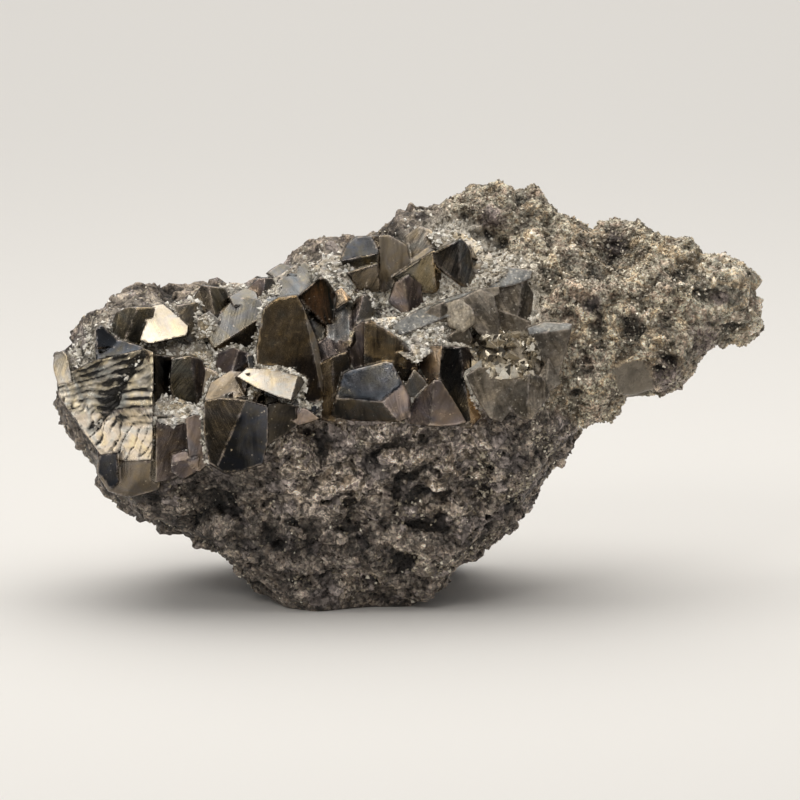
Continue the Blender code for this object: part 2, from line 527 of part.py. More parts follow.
def make_rock(material):
    rock = rock_shell()
    remesh = rock.modifiers.new("even_faces", "REMESH")
    remesh.mode = "VOXEL"
    remesh.voxel_size = VOXEL * MM
    smooth = rock.modifiers.new("soften", "SMOOTH")
    smooth.iterations = 2
    keep_evaluated(rock)

    bm = bmesh.new()
    bm.from_mesh(rock.data)
    bm.normal_update()
    moves = [v.normal * (roughness_at(v.co, v.normal) + spots_at(v.co, v.normal)) for v in bm.verts]
    for vertex, move in zip(bm.verts, moves):
        vertex.co += move * MM
    bm.to_mesh(rock.data)
    triangles = sum(len(face.verts) - 2 for face in bm.faces)
    bm.free()

    fewer = rock.modifiers.new("fewer_faces", "DECIMATE")
    fewer.ratio = ROCK_TRIANGLES / triangles
    keep_evaluated(rock)
    cut_foot(rock)
    rock.data.materials.clear()
    rock.data.materials.append(material)
    return rock


def cut_foot(rock):
    """Cuts the rock level where it stands."""
    bm = bmesh.new()
    bm.from_mesh(rock.data)
    cut_face(bm, (0, 0, 0), (0, 0, -1))
    bm.to_mesh(rock.data)
    bm.free()


def face_depth(shape, across, up):
    """How far back a crystal's front lies at a place: its faces meet in edges that stand out."""
    outline = shape["outline"]
    middle = sum((Vector(corner) for corner in outline), Vector((0, 0))) / len(outline)
    base = depth_at(FRONT_DEPTHS, *middle) - shape["proud"]
    lean_across, lean_up = shape["lean"]

    def main_face(x, z):
        return base + lean_across * (x - middle.x) + lean_up * (z - middle.y)

    depths = [main_face(across, up)]
    for hinge_across, hinge_up, other_across, other_up in shape["others"]:
        depths.append(
            main_face(hinge_across, hinge_up)
            + other_across * (across - hinge_across)
            + other_up * (up - hinge_up)
        )
    return depths


def crystal_hull(name, shape, grown=0.0, faceted=True):
    """A crystal: its outline drawn out to the back, wider towards its root, cut by its faces."""
    outline = shape["outline"]
    middle = sum((Vector(corner) for corner in outline), Vector((0, 0))) / len(outline)
    fronts = [max(face_depth(shape, *corner)) - grown for corner in outline]
    root = max(fronts) + ROOT_DEPTH + 2 * grown
    near = min(fronts) - FRONT_REACH
    bm = bmesh.new()
    for corner, front in zip(outline, fronts):
        outward = (Vector(corner) - middle).normalized()
        start = Vector(corner) + outward * grown
        for back in (near, root):
            place = start + outward * ROOT_FLARE * max(0.0, back - front)
            bm.verts.new(seen(*place, back))
    made = bmesh.ops.convex_hull(bm, input=bm.verts)
    spare = {e for e in made["geom_interior"] + made["geom_unused"] if isinstance(e, bmesh.types.BMVert)}
    bmesh.ops.delete(bm, geom=list(spare), context="VERTS")
    bmesh.ops.recalc_face_normals(bm, faces=bm.faces)
    if faceted:
        for number in range(1 + len(shape["others"])):
            corners = [
                seen(x, z, face_depth(shape, x, z)[number] - grown)
                for x, z in (middle, middle + Vector((1, 0)), middle + Vector((0, 1)))
            ]
            normal = (corners[1] - corners[0]).cross(corners[2] - corners[0]).normalized()
            cut_face(bm, corners[0], normal if normal.y < 0 else -normal)
    hull = object_from(name, bm)
    hull.hide_render = True
    hull.display_type = "WIRE"
    return hull


def cut_face(bm, place, normal):
    """Cuts a closed mesh flat, and drops what is on the normal's side."""
    bmesh.ops.bisect_plane(
        bm,
        geom=bm.verts[:] + bm.edges[:] + bm.faces[:],
        dist=1e-7,
        plane_co=place,
        plane_no=normal,
        clear_outer=True,
    )
    bmesh.ops.holes_fill(bm, edges=[e for e in bm.edges if e.is_boundary], sides=0)
    bmesh.ops.triangulate(bm, faces=[f for f in bm.faces if len(f.verts) > 3])


def hull_collection(name, crystals, grown, faceted=True):
    """The hulls of some crystals in a collection that a Boolean can use."""
    group = bpy.data.collections.new(name)
    bpy.context.scene.collection.children.link(group)
    for label, shape in crystals.items():
        hull = crystal_hull(f"{name}_{label}", shape, grown, faceted)
        bpy.context.scene.collection.objects.unlink(hull)
        group.objects.link(hull)
    group.hide_render = True
    return group


def merge_flat_faces(bm):
    """Joins the triangles that lie in one flat face, then splits each face afresh."""
    bmesh.ops.dissolve_limit(
        bm, angle_limit=FLAT_WITHIN, use_dissolve_boundaries=False, verts=bm.verts, edges=bm.edges
    )
    bmesh.ops.triangulate(bm, faces=bm.faces)


def combine(thing, group, operation):
    boolean = thing.modifiers.new(operation.lower(), "BOOLEAN")
    boolean.operation = operation
    boolean.operand_type = "COLLECTION"
    boolean.collection = group
    boolean.solver = "EXACT"
    boolean.use_self = operation == "UNION"


def keep_largest_body(thing):
    """Drops chips that a cut has set free."""
    bm = bmesh.new()
    bm.from_mesh(thing.data)
    bmesh.ops.triangulate(bm, faces=bm.faces)
    unseen, bodies = set(bm.faces), []
    while unseen:
        body, edge = set(), [unseen.pop()]
        while edge:
            face = edge.pop()
            body.add(face)
            for neighbour in {f for e in face.edges for f in e.link_faces} & unseen:
                unseen.discard(neighbour)
                edge.append(neighbour)
        bodies.append(body)
    largest = max(bodies, key=lambda faces: sum(f.calc_area() for f in faces))
    spare = [f for body in bodies if body is not largest for f in body]
    bmesh.ops.delete(bm, geom=spare, context="FACES")
    merge_flat_faces(bm)
    print(f"{thing.name}: {len(bodies)} bodies, {len(bm.faces)} triangles")
    bm.to_mesh(thing.data)
    bm.free()


def make_cluster(name, crystals, earlier, material):
    """One node: the crystals of a cluster grown together, clear of the clusters before it."""
    names = list(crystals)
    cluster = crystal_hull(name, crystals[names[0]])
    cluster.hide_render = False
    cluster.display_type = "TEXTURED"
    others = {label: crystals[label] for label in names[1:]}
    combine(cluster, hull_collection(f"{name}_joined", others, 0.0), "UNION")
    for group in earlier:
        combine(cluster, group, "DIFFERENCE")
    keep_evaluated(cluster)
    keep_largest_body(cluster)
    cluster.data.materials.clear()
    cluster.data.materials.append(material)
    return cluster


def main():
    clear_scene()
    steel = make_material("tetrahedrite", *STEEL_GREY)
    dull = make_material("dull_tetrahedrite", *DULL_GREY)
    ore = make_material("ore", *ORE_BROWN)
    rock = make_rock(ore)
    clearances = []
    for name, crystals in CLUSTERS.items():
        finish = dull if name == "right_crystals" else steel
        make_cluster(name, crystals, clearances, finish)
        clearances.append(hull_collection(f"{name}_clearance", crystals, SOCKET_GAP))
    for name, crystals in CLUSTERS.items():
        sockets = hull_collection(f"{name}_sockets", crystals, SOCKET_GAP, faceted=False)
        combine(rock, sockets, "DIFFERENCE")
    keep_evaluated(rock)
    keep_largest_body(rock)


main()
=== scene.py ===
import math
import random

import bmesh
import bpy
import numpy as np
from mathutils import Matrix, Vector, noise
from mathutils.bvhtree import BVHTree
from mathutils.kdtree import KDTree


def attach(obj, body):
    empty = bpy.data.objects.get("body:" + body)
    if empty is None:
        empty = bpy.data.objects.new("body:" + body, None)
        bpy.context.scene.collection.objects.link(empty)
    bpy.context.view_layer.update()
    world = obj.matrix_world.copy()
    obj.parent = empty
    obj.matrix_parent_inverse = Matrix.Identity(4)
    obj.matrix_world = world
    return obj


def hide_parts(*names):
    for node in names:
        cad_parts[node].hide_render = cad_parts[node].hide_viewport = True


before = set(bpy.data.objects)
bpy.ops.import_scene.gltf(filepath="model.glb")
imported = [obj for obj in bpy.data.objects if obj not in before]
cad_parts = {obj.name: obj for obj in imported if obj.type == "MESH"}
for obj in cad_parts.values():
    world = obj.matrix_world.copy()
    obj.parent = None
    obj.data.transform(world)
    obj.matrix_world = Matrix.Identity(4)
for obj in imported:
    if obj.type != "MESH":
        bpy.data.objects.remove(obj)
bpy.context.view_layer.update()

mm = 0.001
noise.seed_set(12)    # without it noise_vector differs from run to run
crystalNodes = [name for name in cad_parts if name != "matrix"]

# how the specimen is looked at: the front is seen from a little above level,
# and places are given as millimetres across and up in that view
view = {
    "drop": math.radians(10),
    "originAcross": -11.0,
    "originBack": 27.0,
}
viewSine, viewCosine = math.sin(view["drop"]), math.cos(view["drop"])
toViewer = Vector((0, -viewCosine, viewSine))


def whereSeen(points):
    # part coordinates in metres to (across, up, back) in millimetres
    points = np.asarray(points) / mm
    across = points[..., 0] + view["originAcross"]
    back = points[..., 1] + view["originBack"]
    up = points[..., 2] * viewCosine + back * viewSine
    return across, up, back


def fromSeen(across, up, back):
    height = (up - back * viewSine) / viewCosine
    return Vector((across - view["originAcross"], back - view["originBack"], height)) * mm


def ramp(value, low, high):
    # 0 below low, 1 above high, smooth between
    t = np.clip((np.asarray(value, float) - low) / (high - low), 0, 1)
    return t * t * (3 - 2 * t)


def vertexArray(mesh, what="co"):
    values = np.empty(len(mesh.vertices) * 3, np.float32)
    mesh.vertices.foreach_get(what, values)
    return values.reshape(-1, 3)


def noiseOver(points, size):
    # smooth noise at each point, its waves so many millimetres wide
    return np.array([noise.noise(Vector(p) / (size * mm)) for p in points])


def setVertices(mesh, points):
    mesh.vertices.foreach_set("co", np.asarray(points, np.float32).ravel())
    mesh.update()


def addObject(name, data):
    thing = bpy.data.objects.new(name, data)
    bpy.context.scene.collection.objects.link(thing)
    return thing


def weldedMesh(name, node):
    # a CAD node's mesh with its doubled corners joined
    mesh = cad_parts[node].data.copy()
    mesh.name = name
    bm = bmesh.new()
    bm.from_mesh(mesh)
    bmesh.ops.remove_doubles(bm, verts=bm.verts, dist=1e-6)
    bm.to_mesh(mesh)
    bm.free()
    mesh.materials.clear()
    return mesh


def nodeCopy(name, node):
    return addObject(name, weldedMesh(name, node))


def bake(thing):
    # what the modifiers make becomes the mesh
    graph = bpy.context.evaluated_depsgraph_get()
    made = bpy.data.meshes.new_from_object(thing.evaluated_get(graph))
    made.name = thing.name
    thing.modifiers.clear()
    thing.data = made
    return thing


def addModifier(thing, name, kind, settings):
    modifier = thing.modifiers.new(name, kind)
    for key, value in settings.items():
        setattr(modifier, key, value)


def storeFloats(mesh, name, values, domain="POINT"):
    layer = mesh.attributes.new(name, "FLOAT", domain)
    layer.data.foreach_set("value", np.asarray(values, np.float32))


def readFloats(mesh, name):
    values = np.empty(len(mesh.vertices), np.float32)
    mesh.attributes[name].data.foreach_get("value", values)
    return values


def storeColours(mesh, name, values):
    layer = mesh.attributes.new(name, "FLOAT_COLOR", "FACE")
    flat = np.ones((len(values), 4), np.float32)
    flat[:, :3] = values
    layer.data.foreach_set("color", flat.ravel())


# materials

def fillInputs(tree, node, inputs):
    # each input is linked to a socket or set to a value
    for key, value in inputs.items():
        if isinstance(value, bpy.types.NodeSocket):
            tree.links.new(value, node.inputs[key])
        else:
            node.inputs[key].default_value = value


def addNode(tree, kind, settings=None, inputs=None):
    node = tree.nodes.new(kind)
    for key, value in (settings or {}).items():
        setattr(node, key, value)
    fillInputs(tree, node, inputs or {})
    return node


def colourRamp(tree, value, stops):
    node = addNode(tree, "ShaderNodeValToRGB", inputs={"Fac": value})
    band = node.color_ramp
    while len(band.elements) > 1:
        band.elements.remove(band.elements[0])
    band.elements[0].position, band.elements[0].color = stops[0][0], (*stops[0][1], 1)
    for place, colour in stops[1:]:
        band.elements.new(place).color = (*colour, 1)
    return node.outputs["Color"]


class Shading:
    # a new material, with short ways to add what goes into it
    def __init__(self, name):
        self.material = bpy.data.materials.new(name)
        self.material.use_nodes = True
        self.tree = self.material.node_tree
        self.place = self.add("ShaderNodeTexCoord").outputs["Object"]

    def add(self, kind, settings=None, inputs=None):
        return addNode(self.tree, kind, settings, inputs)

    def attribute(self, name, output="Fac"):
        return self.add("ShaderNodeAttribute", {"attribute_name": name}).outputs[output]

    def noiseAt(self, scale, detail, roughness=0.5, distortion=0.0, place=None):
        return self.add("ShaderNodeTexNoise", inputs={
            "Vector": self.place if place is None else place, "Scale": scale, "Detail": detail,
            "Roughness": roughness, "Distortion": distortion}).outputs["Fac"]

    def ranged(self, value, low, high, first, last):
        return self.add("ShaderNodeMapRange", inputs={
            "Value": value, "From Min": low, "From Max": high,
            "To Min": first, "To Max": last}).outputs["Result"]

    def banded(self, value, stops):
        return colourRamp(self.tree, value, stops)

    def mixed(self, factor, first, second, kind="MIX"):
        return self.add("ShaderNodeMix", {"data_type": "RGBA", "blend_type": kind},
                        {0: factor, 6: first, 7: second}).outputs[2]

    def maths(self, operation, first, second, clamp=False):
        return self.add("ShaderNodeMath", {"operation": operation, "use_clamp": clamp},
                        {0: first, 1: second}).outputs[0]

    def vectorMaths(self, operation, *values):
        return self.add("ShaderNodeVectorMath", {"operation": operation},
                        dict(enumerate(values))).outputs[0]

    def bump(self, height, strength, millimetres, normal=None, invert=False):
        inputs = {"Height": height, "Strength": strength, "Distance": millimetres * mm}
        if normal is not None:
            inputs["Normal"] = normal
        return self.add("ShaderNodeBump", {"invert": invert}, inputs).outputs["Normal"]

    def dress(self, inputs):
        fillInputs(self.tree, self.tree.nodes["Principled BSDF"], inputs)
        return self.material


crystalLook = {
    # pale edges: partly real wear, partly a painted highlight along the edges
    "edge": (0.50, 0.44, 0.385),
    "dust": (0.72, 0.66, 0.55),
    # some of each face is bluish, some of it bronze
    "cast": [(0.36, (0.88, 0.93, 1.02)), (0.46, (1.00, 0.96, 0.97)),
             (0.54, (1.03, 0.97, 0.89)), (0.64, (1.17, 1.04, 0.84))],
    "shiny": {"roughness": 0.15, "metallic": 1.0, "lineStrength": 0.22, "pitStrength": 0.06,
              "castShare": 1.0, "dustFrom": 0.69, "darkGrain": 0.90, "lightGrain": 1.10},
    "dull": {"roughness": 0.40, "metallic": 0.85, "lineStrength": 0.12, "pitStrength": 0.5,
             "castShare": 0.35, "dustFrom": 0.60, "darkGrain": 0.62, "lightGrain": 1.35},
}


def crystalMaterial(name, kind):
    look, own = crystalLook, crystalLook[kind]
    paint = Shading(name)
    ranged, mixed, maths, noiseAt = paint.ranged, paint.mixed, paint.maths, paint.noiseAt
    along = paint.add("ShaderNodeUVMap", {"uv_map": "striation"}).outputs["UV"]

    def stretched(lengthwise, crosswise):
        return paint.add("ShaderNodeMapping", {"vector_type": "POINT"}, {
            "Vector": along, "Scale": (lengthwise, crosswise, 1.0)}).outputs["Vector"]

    # painted sheen: streaks of a lighter sheen over each face, along its striations, added to each
    # face's painted reflection
    streaks = noiseAt(1.0, 6.0, 0.66, 0.9, stretched(0.10, 0.42))
    banding = maths("MULTIPLY", ranged(streaks, 0.38, 0.66, -0.6, 0.6), paint.attribute("striped"))
    amount = maths("ADD", banding, paint.attribute("light"), True)
    colour = mixed(amount, paint.attribute("tint", "Color"), paint.attribute("sheen", "Color"))
    # worn pale edges, partly a painted highlight along them, and dust
    fray = noiseAt(700.0, 4.0, 0.65)
    worn = maths("MULTIPLY", paint.attribute("wear"), ranged(fray, 0.42, 0.64, 0.0, 0.85), True)
    colour = mixed(worn, colour, (*look["edge"], 1))
    dusty = ranged(noiseAt(1500.0, 2.0), own["dustFrom"], 0.78, 0.0, 0.6)
    colour = mixed(dusty, colour, (*look["dust"], 1))
    grain = noiseAt(1900.0, 3.0, 0.7)
    grainShade = ranged(grain, 0.3, 0.7, own["darkGrain"], own["lightGrain"])
    colour = mixed(1.0, colour, grainShade, "MULTIPLY")
    cast = paint.banded(noiseAt(170.0, 3.0, 0.55, 1.4), look["cast"])
    colour = mixed(own["castShare"], colour, cast, "MULTIPLY")

    lines = noiseAt(1.0, 7.0, 0.70, 0.3, stretched(0.07, 1.5))
    normal = paint.bump(lines, own["lineStrength"], 0.8)
    rough = own["roughness"]
    return paint.dress({
        "Base Color": colour,
        "Normal": paint.bump(grain, own["pitStrength"], 0.22, normal),
        "Roughness": ranged(fray, 0.3, 0.7, rough - 0.06, rough + 0.16),
        "Metallic": ranged(paint.attribute("matt"), 0.0, 1.0, own["metallic"], 0.0),
    })


# the crystals

crystals = {
    "seed": 40,
    "fineness": 7,             # octree depth of the dense mesh
    "fill": 0.80,              # and how much of its grid the crystals take up
    "flatWithin": math.radians(0.6),
    "ridgeAngle": 0.35,        # a sharper bend than this, in radians, can be worn
    "swell": 0.11,             # broad unevenness of a face, in millimetres
    "stepHeight": 0.07,        # growth steps along the striations
    "edgeWear": 0.45,          # how far an edge is worn back
    "wornWidth": 0.36,         # and how wide, in millimetres
    # painted reflection: one side of each face is painted lighter
    "paintedReflection": 0.50,              # how much lighter one side of a face is
    "paintedReflectionReach": 4.0,          # over how many millimetres
    "shadeSpread": (0.88, 1.12),
    # each colour of a face: its ground, the painted sheen over it and how matt it is; partly the
    # crystals' own colours, partly painted reflection, lighter or darker face by face
    "tints": {
        "cleaved": ((0.026, 0.025, 0.023), (0.96, 0.87, 0.71), 0.3),
        "dark": ((0.042, 0.038, 0.033), (0.17, 0.145, 0.112), 0.0),
        "black": ((0.016, 0.0155, 0.014), (0.085, 0.074, 0.058), 0.0),
        "ink": ((0.010, 0.011, 0.013), (0.080, 0.082, 0.088), 0.0),
        "umber": ((0.040, 0.033, 0.030), (0.130, 0.108, 0.095), 0.05),
        "bronze": ((0.046, 0.036, 0.027), (0.250, 0.195, 0.120), 0.0),
        "plum": ((0.046, 0.038, 0.037), (0.180, 0.148, 0.142), 0.3),
        "gold": ((0.100, 0.080, 0.052), (0.50, 0.41, 0.27), 0.1),
        "orange": ((0.150, 0.098, 0.060), (0.86, 0.66, 0.44), 0.3),
        "tiger": ((0.040, 0.031, 0.024), (0.74, 0.55, 0.35), 0.1),
        "ember": ((0.010, 0.0105, 0.009), (0.078, 0.044, 0.023), 0.0),
        "slate": ((0.040, 0.043, 0.047), (0.125, 0.131, 0.138), 0.0),
        "smoke": ((0.070, 0.068, 0.062), (0.250, 0.240, 0.218), 0.1),
        "pewter": ((0.125, 0.115, 0.097), (0.300, 0.272, 0.228), 0.25),
        # steel grey with a painted reflection of the light overhead, for upward faces
        "steelTop": ((0.130, 0.132, 0.128), (0.270, 0.270, 0.256), 0.1),
        "olive": ((0.062, 0.057, 0.044), (0.225, 0.202, 0.150), 0.0),
        # a painted highlight: pale faces standing for bright reflections, matt enough to stay light
        "cream": ((0.42, 0.395, 0.335), (0.70, 0.655, 0.550), 0.35),
        "rose": ((0.125, 0.104, 0.095), (0.400, 0.332, 0.300), 0.35),
        "tan": ((0.190, 0.165, 0.128), (0.50, 0.440, 0.345), 0.4),
        "dull": ((0.086, 0.073, 0.057), (0.345, 0.299, 0.238), 0.25),
        # the dull colour darker: painted shade for faces turned from the light, also given to some dull
        # faces at random
        "dullDark": ((0.062, 0.054, 0.043), (0.190, 0.165, 0.130), 0.1),
        "crust": ((0.240, 0.222, 0.188), (0.78, 0.735, 0.64), 0.7),
    },
    "smoothTints": ("cream", "slate", "steelTop", "ink"),
    "common": ["pewter", "dark", "dark", "umber", "olive"],
    # tints for upward faces: a painted reflection of the light overhead
    "commonTopReflection": ["steelTop", "slate", "olive", "dark"],
    "commonDull": ["dull", "dull", "dullDark"],
    # faces with a tint of their own, partly painted reflection, by where they are seen: across, up and,
    # where one side is plainly lighter, its direction in degrees from the right, towards which the
    # painted reflection is lighter
    "chosen": {
        "cream": [(-67.5, 48.6, 270), (-47.1, 57.2, 240), (-25.3, 45.9, 180), (-28.7, 48.1)],
        "slate": [(-56.5, 52.4), (-58.9, 54.6), (-28.7, 49.9), (-17.5, 40.9), (-5.9, 45.8, 30),
            (-8.0, 72.7)],
        "cleaved": [(-57.5, 45.4), (-55.5, 35.8)],
        "ink": [(-57.9, 28.6), (-30.1, 34.5, 20)],
        "dull": [(-53.1, 26.5), (-34.3, 45.0), (16.9, 45.0), (20.7, 43.4), (27.1, 43.3),
            (30.3, 53.0), (22.5, 58.0), (22.2, 62.5), (17.0, 59.4), (6.9, 60.1), (16.7, 53.0)],
        "pewter": [(-48.7, 31.1), (-41.9, 58.6), (-26.1, 65.0), (-20.1, 45.1), (-6.7, 60.3),
            (3.1, 45.4), (4.6, 71.7)],
        "olive": [(-55.3, 57.9), (-52.1, 57.6), (-36.1, 62.5), (-42.9, 46.2, 110),
            (4.4, 67.6, 0), (-7.8, 70.0)],
        "dark": [(-38.9, 62.4), (-35.5, 37.3, 70), (-17.1, 58.9), (-11.8, 48.5), (-5.9, 50.2),
            (9.8, 70.0, 190), (-6.8, 66.6)],
        "steelTop": [(-31.5, 63.0, 20), (-32.7, 58.3), (-24.0, 68.4), (-21.4, 66.0),
            (-23.3, 42.5), (29.7, 56.8), (21.4, 66.5), (4.5, 58.7)],
        "black": [(-31.1, 54.7), (-47.1, 47.3), (-23.5, 38.3), (-7.5, 40.2), (1.0, 47.5),
            (11.1, 46.3)],
        "crust": [(-38.5, 57.3), (-42.5, 52.1), (-29.3, 43.8), (-44.7, 40.3), (3.3, 54.8),
            (-13.0, 68.2), (-13.1, 66.4), (11.0, 75.4), (18.2, 68.6), (-5.6, 62.7),
            (15.6, 69.2), (16.4, 68.8)],
        "bronze": [(-22.1, 53.5, 130), (-14.2, 44.1), (-2.7, 52.9, 200)],
        "rose": [(-28.3, 65.0), (-18.9, 39.1), (-40.3, 34.3), (-43.3, 31.1), (-40.5, 29.9),
            (-8.3, 52.7), (-0.1, 41.6), (8.9, 40.9, 300), (-0.1, 62.9)],
        "tan": [(-16.7, 51.9), (-37.9, 46.2), (24.6, 52.0), (12.1, 59.1), (20.3, 54.1),
            (3.4, 74.5), (-1.6, 70.1, 60)],
        "umber": [(-39.9, 46.8), (-45.7, 32.7, 180), (-8.7, 60.0), (-13.5, 52.7)],
        "plum": [(-34.5, 50.1), (-31.7, 50.5), (-31.3, 48.7), (-43.1, 28.8), (4.5, 40.8),
            (2.6, 63.6)],
        "ember": [(-15.7, 62.1, 225)],
        "tiger": [(-11.5, 62.7), (14.0, 42.3, 300)],
        "smoke": [(-11.7, 57.5, 240), (-16.1, 56.1), (13.2, 69.1)],
        "orange": [(6.5, 49.6)],
        "dullDark": [(24.1, 42.7), (25.4, 62.0), (18.8, 64.2), (8.8, 60.3), (11.9, 54.8)],
        "gold": [(7.4, 67.1)],
    },
}


def facetsOf(mesh):
    # the flat faces of a welded crystal mesh as (normal, middle), a tree of its
    # triangles with the face that each belongs to, and a tree of its ridge edges
    bm = bmesh.new()
    bm.from_mesh(mesh)
    bmesh.ops.dissolve_limit(bm, angle_limit=crystals["flatWithin"], verts=bm.verts, edges=bm.edges)
    bm.normal_update()
    facets = [(f.normal.copy(), f.calc_center_median()) for f in bm.faces]
    samples = []
    for edge in bm.edges:
        if len(edge.link_faces) == 2 and edge.calc_face_angle_signed(0) > crystals["ridgeAngle"]:
            first, last = edge.verts[0].co, edge.verts[1].co
            count = max(2, int((last - first).length / (0.3 * mm)))
            samples += [first.lerp(last, i / count) for i in range(count + 1)]
    ridges = KDTree(len(samples))
    for i, sample in enumerate(samples):
        ridges.insert(sample, i)
    ridges.balance()
    triangles = bm.calc_loop_triangles()
    points = [v.co.copy() for v in bm.verts]
    corners = [[loop.vert.index for loop in tri] for tri in triangles]
    owner = [tri[0].face.index for tri in triangles]
    bm.free()
    return facets, owner, BVHTree.FromPolygons(points, corners), ridges


def chosenFaces(parts):
    # the face that is seen at each chosen place, as (node, face): [tint, lighter side]
    found = {}
    places = [(tint, *place) for tint, group in crystals["chosen"].items() for place in group]
    for tint, across, up, *lighter in places:
        start = fromSeen(across, up, 0) + toViewer * 0.3
        nearest = None
        for node, (facets, owner, tree, ridges) in parts.items():
            hit = tree.ray_cast(start, -toViewer)
            if hit[3] is not None and (nearest is None or hit[3] < nearest[0]):
                nearest = (hit[3], node, owner[hit[2]])
        if nearest:
            if found.get(nearest[1:], [tint])[0] != tint:
                print(f"the face at {across}, {up} has two colours: {tint} is used")
            found[nearest[1:]] = [tint, *lighter]
    return found


def tintOf(key, normal, chosen, chance):
    if key in chosen:
        name = chosen[key][0]
    else:
        dull = key[0] == "right_crystals"
        # faces turned up take tints painted with the reflection of the light overhead
        kind = "commonDull" if dull else "commonTopReflection" if normal.z > 0.75 else "common"
        name = chance.choice(crystals[kind])
    shade = chance.uniform(*crystals["shadeSpread"])
    ground, sheen, matt = crystals["tints"][name]
    colours = [[min(0.95, channel * shade) for channel in colour] for colour in (ground, sheen)]
    return name, colours, matt


def faceAxes(normal, turn):
    # directions along and across the striations of a face
    side = normal.cross(Vector((0, 0, 1)))
    if side.length < 0.2:
        side = Vector((1, 0, 0))
    side.normalize()
    rise = normal.cross(side)
    return (rise * math.cos(turn) + side * math.sin(turn),
            side * math.cos(turn) - rise * math.sin(turn))


def cleavage(spot):
    # broken lamellae that curve round the end of a crystal, a slanting crack and a bright fracture
    # below: the height in millimetres and the light they catch, as painted reflection, with painted
    # shade in the crack and the seams
    across, up, _ = whereSeen(spot * mm)
    rise = 0.08 + 0.34 * float(ramp(up, 39, 51))
    wave = 0.55 * noise.noise(spot / 5) + 0.30 * noise.noise(spot / 1.7)
    phase = (up - rise * (across + 58) + wave) / 1.45 % 1.0
    blade = phase / 0.74 if phase < 0.74 else (1 - phase) / 0.26
    torn = noise.noise(Vector((across * 0.30, up * 1.3, 5.0)))
    slant = across - 0.58 * (up - 41) + 58.0 + 0.9 * noise.noise(spot / 2.1)
    crack = max(0.0, 1 - abs(slant) / 1.7) * float(ramp(up, 35, 38))
    jag = 0.5 + 1.4 * abs(noise.noise(Vector((slant * 1.1, up * 0.35, 3.7))))
    border = -(up + 0.42 * (across + 58)) + 2.0 * noise.noise(spot / 3.1)
    lower = float(ramp(border, -40.5, -38.0))
    through = 0.83 * across - 0.55 * up + 0.8 * noise.noise(spot / 2.5)
    along = 0.55 * across + 0.83 * up
    seam = abs(noise.noise(Vector((through * 0.62, along * 0.14, 9.0))))
    seams = max(0.0, 1 - seam / 0.15)
    hatchZone = float(ramp(-up, -35.5, -33.5) * (1 - ramp(across, -56.5, -54.0)))
    hatch = abs(noise.noise(Vector((through * 0.9, along * 0.35, 2.0))))
    hatch = max(0.0, 1 - hatch / 0.22) * hatchZone
    height = (1 - lower) * 0.36 * blade - crack * (0.35 + 0.8 * jag)
    height -= lower * (0.45 * seams + 0.30 * hatch)
    ends = 0.55 * (1 - float(ramp(across, -65.5, -63.0))) + 0.30 * float(ramp(across, -57, -52))
    upper = 0.62 - 0.85 * blade + 0.75 * torn + ends
    # painted reflection on the lamellae and the fracture, darkened as painted shade in the seams, the
    # hatching and the crack
    light = upper * (1 - lower) + lower * (1.12 - 1.25 * seams - 0.85 * hatch + 0.45 * torn)
    return height, light - 1.3 * crack * jag


def faceRelief(spot, u, v, kind):
    # height over a flat face in millimetres, at a place in it
    broad = noise.noise(spot / 7) * crystals["swell"]
    steps = noise.fractal(Vector((u * 0.12, v * 0.62, 1.3)), 0.7, 2.2, 3) * crystals["stepHeight"]
    if kind == "crust":
        distances = noise.voronoi(spot / 1.1)[0]
        return broad + (0.5 - distances[0]) * 0.75 + 0.3 * noise.noise(spot / 2.4)
    if kind == "terraces":
        level = (broad + steps) / 0.06
        return broad + steps + (round(level) - level) * 0.05
    if kind == "furrows":
        return broad + steps + abs(noise.noise(Vector((u * 0.10, v * 0.9, 8.1)))) * 0.16
    return broad + steps


